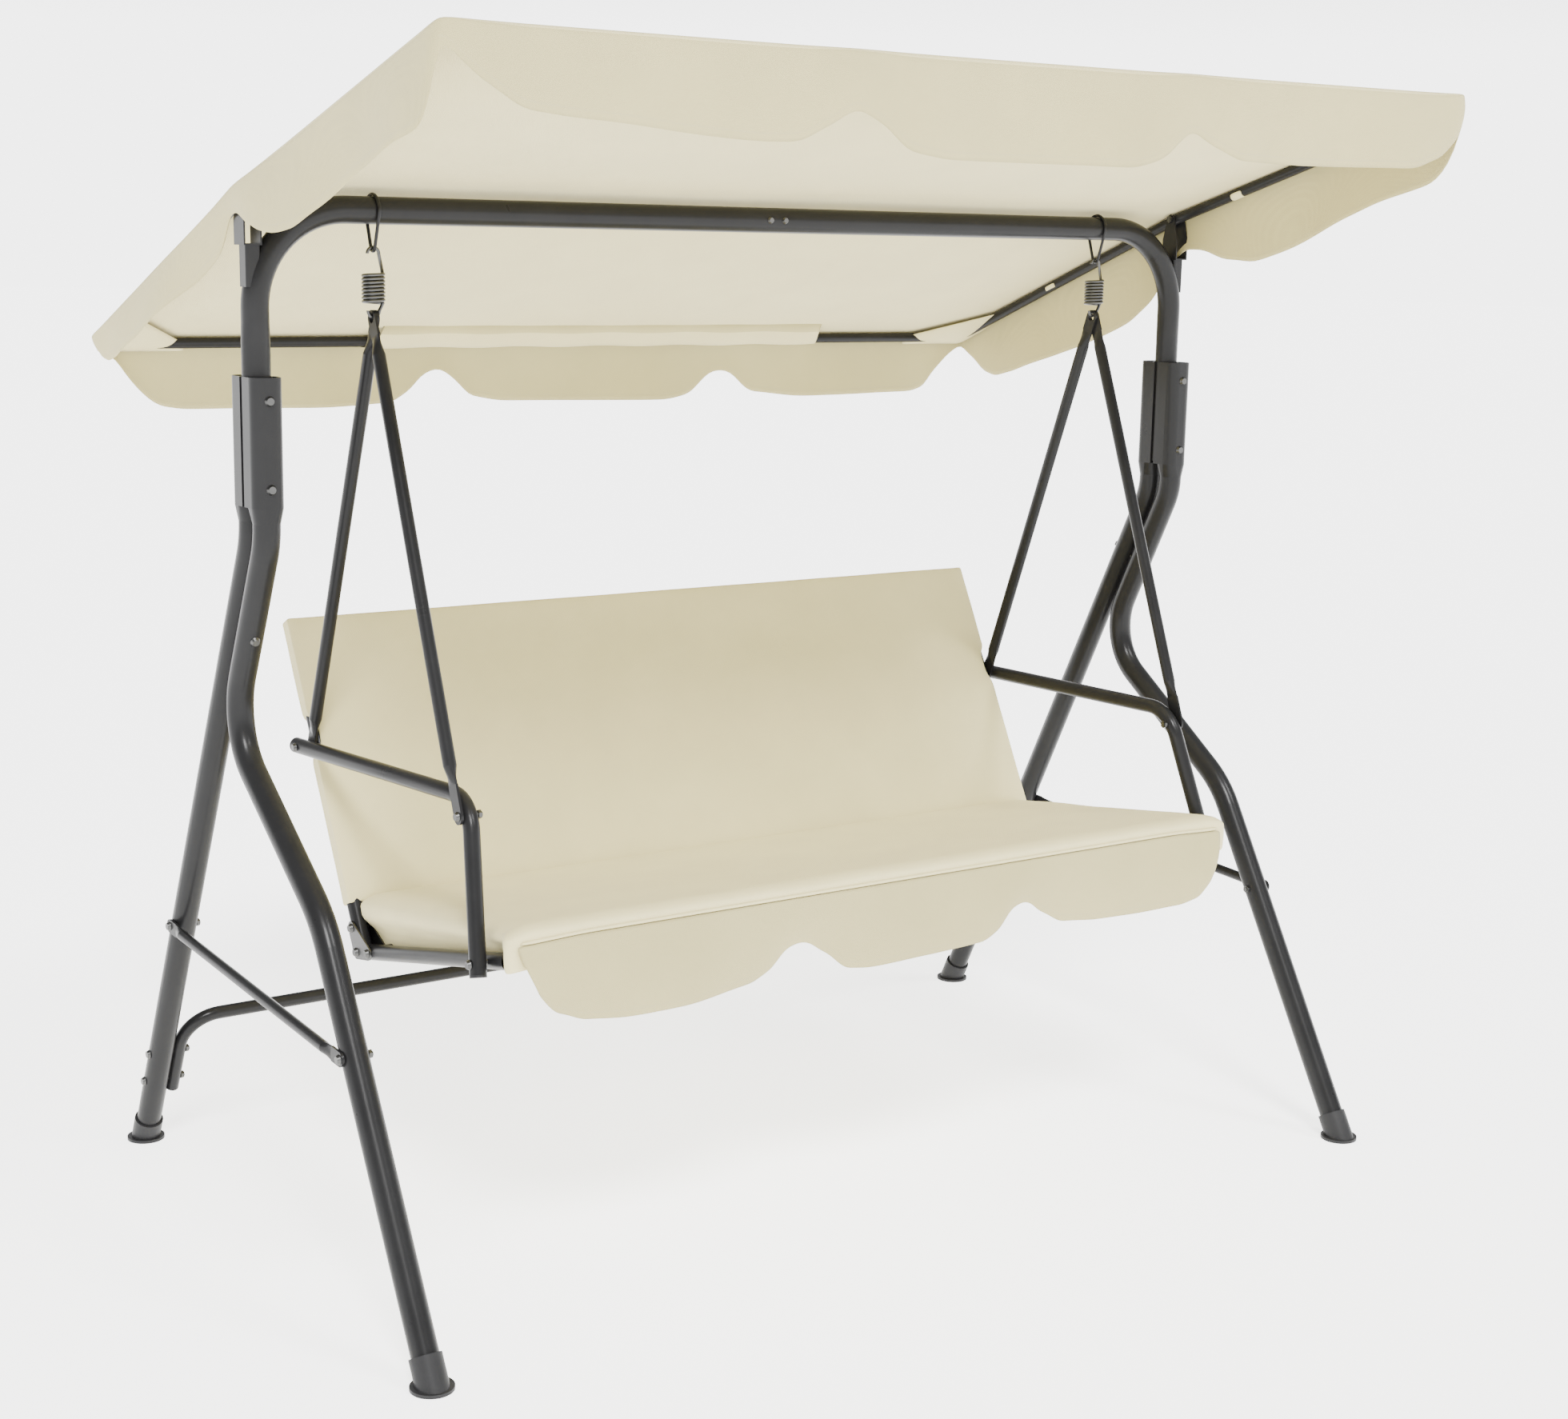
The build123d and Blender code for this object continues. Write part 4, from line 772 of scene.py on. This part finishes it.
class SWING_OT_seat_pad(bpy.types.Operator):
    """Make the seat pad, with its piped front edge"""

    bl_idname = "swing.seat_pad"
    bl_label = "Make seat pad"

    def execute(self, context):
        settings = context.scene.swing_bench
        bm = block(PAD_GRID)
        for vertex in bm.verts:
            vertex.co = self.shape(settings, *vertex.co)
        piece = finish_piece(bm, "seat_pad_cushion", None, "seat_fabric")
        inflate(piece, *PAD_PUFF)
        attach(piece, "seat")
        smooth_surface(piece)
        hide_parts("seat_pad")
        self.piping(settings)
        return {"FINISHED"}

    @staticmethod
    def piping(settings):
        """Sew a cord along the pad's front edge, dropping near the ends."""
        y = settings.pad_depth_front - PIPING_INSET
        reach = settings.pad_half_width * PIPING_SHARE
        points = []
        for index in range(PIPING_POINTS):
            x = reach * (2 * index / (PIPING_POINTS - 1) - 1)
            dip = SEAM_DIP * smooth_step(0.55, 0.68, abs(x))
            points.append(Vector((x, y, seat_height(y) + PIPING_HEIGHT - dip)))
        bm = bmesh.new()
        tube_along(bm, points, settings.piping_radius)
        smooth_surface(finish_piece(bm, "seat_piping", "seat", "seat_fabric"))

    @staticmethod
    def shape(settings, u, v, w):
        """The place on the pad of a point of the block, as shares across, back and up."""
        front = settings.pad_depth_front
        back, up = (v + 1) / 2, (w + 1) / 2
        y = front + (PAD_REAR_LOW + (PAD_REAR_HIGH - PAD_REAR_LOW) * up - front) * back
        end = smooth_step(0.9, 1.0, abs(u))
        lift = PAD_BOTTOM + (PAD_TOP + PAD_RISE * back - PAD_BOTTOM) * up
        if w > 0:
            crown = PAD_CROWN * (1 - abs(u) ** 6) * (1 - abs(v) ** 4)
            dish = PAD_DISH * (1 - u * u) * math.sin(math.pi * min(max(back, 0), 1))
            crease = CUSHION_CREASE * noise.noise(Vector((u * 6, v * 3, 4.0)))
            rounding = (PAD_EDGE_ROUND * smooth_step(0.965, 1.0, abs(u))
                        + PAD_EDGE_ROUND * smooth_step(0.93, 1.0, -v)
                        + PAD_REAR_ROUND * smooth_step(0.94, 1.0, v))
            lift += (crown - dish + crease - rounding) * w
        ripple = abs(PAD_END_RIPPLE * noise.noise(Vector((v * 5, w * 2, u * 4)))) * end
        pull = PAD_END_PULL * (1 - w * w) * smooth_step(0.97, 1.0, abs(u))
        x = u * settings.pad_half_width - math.copysign(ripple + PAD_END_INSET - pull, u)
        if w < 0 and v > TUBE_COVER:
            x = math.copysign(min(abs(x), PAD_INSIDE_TUBES), u)
        elif w < 0:
            lift -= PAD_END_TUCK * end
        # The front corners stand wider, over the ends of the side tubes.
        x += math.copysign(PAD_FRONT_CORNER * smooth_step(-0.90, -0.94, v) * end, u)
        return Vector((x, y, seat_height(y) + lift))


class SWING_OT_backrest(bpy.types.Operator):
    """Make the backrest cover, with its side openings for the arms"""

    bl_idname = "swing.backrest"
    bl_label = "Make backrest"

    def execute(self, context):
        settings = context.scene.swing_bench
        bm = block(BACK_GRID)
        for vertex in bm.verts:
            vertex.co = self.shape(settings, *vertex.co)
        piece = finish_piece(bm, "backrest_cushion", None, "seat_fabric")
        inflate(piece, *BACK_PUFF)
        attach(piece, "seat")
        smooth_surface(piece)
        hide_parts("backrest_cover")
        return {"FINISHED"}

    @staticmethod
    def shape(settings, u, v, w):
        """The place on the backrest of a point of the block, as shares across, up and out."""
        along = BACK_FOOT + (BACK_HEAD - BACK_FOOT) * (v + 1) / 2
        slot = smooth_step(*SLOT_FOOT, along) * (1 - smooth_step(*SLOT_HEAD, along))
        end = smooth_step(0.975, 1.0, abs(u))
        rim = max(end, smooth_step(0.93, 1.0, abs(v)))
        crown = (1 - abs(u) ** 6) * (1 - abs(v) ** 3)
        thick = settings.back_half_thickness - BACK_RIM * rim + BACK_CROWN * crown
        crease = CUSHION_CREASE * noise.noise(Vector((u * 5, v * 2.4, w)))
        half = settings.back_half_width - SLOT_DEPTH * slot
        if abs(u) > 0.9:
            x = math.copysign(min(abs(u) * settings.back_half_width, half), u)
        else:
            x = u * half
        place = BACK_BOLT + BACK_UP * along + BACK_OUT * (w * thick + crease)
        return Vector((x, place.y, place.z))


class SWING_OT_skirt(bpy.types.Operator):
    """Make the scalloped skirt below the front of the seat"""

    bl_idname = "swing.skirt"
    bl_label = "Make seat skirt"

    def execute(self, context):
        settings = context.scene.swing_bench
        half = settings.skirt_half_width
        bm = bmesh.new()
        hem = bm.verts.layers.float.new("hem")
        columns, rows = SKIRT_GRID
        bmesh.ops.create_grid(bm, x_segments=columns, y_segments=rows, size=1)
        for vertex in bm.verts:
            share = (1 - vertex.co.y) / 2
            x = vertex.co.x * half
            seam = SKIRT_HIGH.z + SKIRT_ABOVE - SEAM_DIP * smooth_step(0.56, 0.68, abs(x))
            drop = seam - curve_at(SKIRT_EDGE, x)
            wave = wave_at(x * 11.5 + 0.5, 0.6, (x * 6, 0, 7.0))
            flare = 0.009 * share * wave + 0.012 * math.sin(share * 2.2) + 0.002
            taper = SKIRT_TAPER * share**1.3 * smooth_step(0.5, 0.66, abs(x))
            vertex.co = Vector((x - math.copysign(taper, x), SKIRT_LOW.y + SKIRT_BEHIND - flare,
                                seam - drop * share))
            vertex[hem] = drop * (1 - share)
        piece = finish_piece(bm, "skirt_cloth", "seat", "seat_fabric", "skirt_fabric")
        smooth_surface(piece)
        thicken(piece, FABRIC_THICKNESS)
        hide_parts("seat_skirt")
        return {"FINISHED"}


class SWING_OT_straps(bpy.types.Operator):
    """Make the webbing straps under the seat pad"""

    bl_idname = "swing.straps"
    bl_label = "Make seat straps"

    def execute(self, context):
        bm = bmesh.new()
        for index in range(WEBBING_COUNT):
            middle = (index - (WEBBING_COUNT - 1) / 2) * WEBBING_PITCH
            made = bmesh.ops.create_grid(bm, x_segments=4, y_segments=24, size=1)["verts"]
            for vertex in made:
                share = (vertex.co.y + 1) / 2
                y = STRAPS_LOW.y + (STRAPS_HIGH.y - STRAPS_LOW.y) * share
                sag = WEBBING_SAG * math.sin(math.pi * share) + WEBBING_CURL * (1 - vertex.co.x**2)
                vertex.co = Vector((middle + vertex.co.x * WEBBING_HALF_WIDTH, y,
                                    seat_height(y) - WEBBING_BELOW - sag))
        piece = finish_piece(bm, "webbing_straps", "seat", "webbing")
        thicken(piece, WEBBING_THICKNESS)
        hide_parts("seat_straps")
        return {"FINISHED"}


# ------------------------------------------------------------------ finishes and stage
class SWING_OT_finishes(bpy.types.Operator):
    """Give the steel, wire, plated and moulded parts their finishes"""

    bl_idname = "swing.finishes"
    bl_label = "Apply finishes"

    def execute(self, context):
        build_materials(context.scene.swing_finish)
        for row in frame["record"]["subparts"]:
            node = NODES[row["node"]]
            node.data.materials.clear()
            node.data.materials.append(MATERIALS[row["material_slot"]])
        return {"FINISHED"}


class SWING_OT_stage(bpy.types.Operator):
    """Set the pale floor, the soft lights and the camera"""

    bl_idname = "swing.stage"
    bl_label = "Set the stage"

    def execute(self, context):
        settings, scene = context.scene.swing_stage, context.scene
        self.lay_floor(settings, scene)
        self.light_sky(settings, scene)
        for name, direction, share in LAMPS:
            lamp = bpy.data.lights.new(name, "SUN")
            lamp.energy = settings.key_power * share
            lamp.angle = LAMP_ANGLE
            key = bpy.data.objects.new(name, lamp)
            key.rotation_euler = Vector(direction).to_track_quat("-Z", "Y").to_euler()
            scene.collection.objects.link(key)
        self.set_camera(scene)
        return {"FINISHED"}

    @staticmethod
    def lay_floor(settings, scene):
        bm = bmesh.new()
        bmesh.ops.create_grid(bm, x_segments=1, y_segments=1, size=FLOOR_SIZE)
        mesh = bpy.data.meshes.new("floor")
        bm.to_mesh(mesh)
        bm.free()
        floor = bpy.data.objects.new("floor", mesh)
        floor.location = (0, 0, -FLOOR_DROP)
        scene.collection.objects.link(floor)
        paint = bpy.data.materials.new("floor_paint")
        paint.use_nodes = True
        set_inputs(paint.node_tree.nodes["Principled BSDF"], Base_Color=(*settings.floor, 1),
                   Roughness=0.9, Emission_Color=(1, 1, 1, 1),
                   Emission_Strength=settings.floor_glow)
        mesh.materials.append(paint)

    @staticmethod
    def light_sky(settings, scene):
        """A sky that is bright at the horizon and plain above."""
        world = bpy.data.worlds.new("studio")
        world.use_nodes = True
        tree = world.node_tree
        place = add_node(tree, "ShaderNodeTexCoord", (-6, 0))
        split = add_node(tree, "ShaderNodeSeparateXYZ", (-5, 0))
        link(tree, place.outputs["Generated"], split.inputs[0])
        shade = tint(tree, split.outputs["Z"], 0.08, 0.25, (settings.horizon,) * 3, (1, 1, 1))
        link(tree, shade, tree.nodes["Background"].inputs["Color"])
        tree.nodes["Background"].inputs["Strength"].default_value = settings.sky_power
        scene.world = world

    @staticmethod
    def set_camera(scene):
        yaw, pitch, roll = (math.radians(angle) for angle in CAMERA_ANGLES)
        view = Vector((math.sin(yaw) * math.cos(pitch), math.cos(yaw) * math.cos(pitch),
                       -math.sin(pitch)))
        level = Vector((math.cos(yaw), -math.sin(yaw), 0))
        right = level * math.cos(roll) + level.cross(view) * math.sin(roll)
        up = right.cross(view)
        lens = bpy.data.cameras.new("camera")
        lens.sensor_width = CAMERA_SENSOR
        lens.lens = CAMERA_LENS
        camera = bpy.data.objects.new("camera", lens)
        turn = Matrix((right, up, -view)).transposed().to_4x4()
        camera.matrix_world = Matrix.Translation(CAMERA_PLACE) @ turn
        scene.collection.objects.link(camera)
        scene.camera = camera


class SWING_PT_maker(bpy.types.Panel):
    bl_idname = "SWING_PT_maker"
    bl_label = "Canopy swing"
    bl_space_type = "VIEW_3D"
    bl_region_type = "UI"
    bl_category = "Swing"

    def draw(self, context):
        for operator in OPERATORS:
            self.layout.operator(operator.bl_idname)
        for name in SETTINGS:
            settings = getattr(context.scene, name)
            box = self.layout.box()
            for key in settings.__annotations__:
                box.prop(settings, key)


SETTINGS = {
    "swing_canopy": SwingCanopySettings,
    "swing_bench": SwingBenchSettings,
    "swing_finish": SwingFinishSettings,
    "swing_stage": SwingStageSettings,
}
OPERATORS = (
    SWING_OT_finishes,
    SWING_OT_springs,
    SWING_OT_canopy,
    SWING_OT_canopy_ties,
    SWING_OT_seat_pad,
    SWING_OT_backrest,
    SWING_OT_skirt,
    SWING_OT_straps,
    SWING_OT_stage,
)


def register():
    for group in SETTINGS.values():
        bpy.utils.register_class(group)
    for name, group in SETTINGS.items():
        setattr(bpy.types.Scene, name, PointerProperty(type=group))
    for operator in (*OPERATORS, SWING_PT_maker):
        bpy.utils.register_class(operator)


def unregister():
    for operator in reversed((*OPERATORS, SWING_PT_maker)):
        bpy.utils.unregister_class(operator)
    for name, group in SETTINGS.items():
        delattr(bpy.types.Scene, name)
        bpy.utils.unregister_class(group)


def main():
    register()
    for operator in OPERATORS:
        group, name = operator.bl_idname.split(".")
        getattr(getattr(bpy.ops, group), name)()
    bpy.context.view_layer.update()


if __name__ == "__main__":
    main()
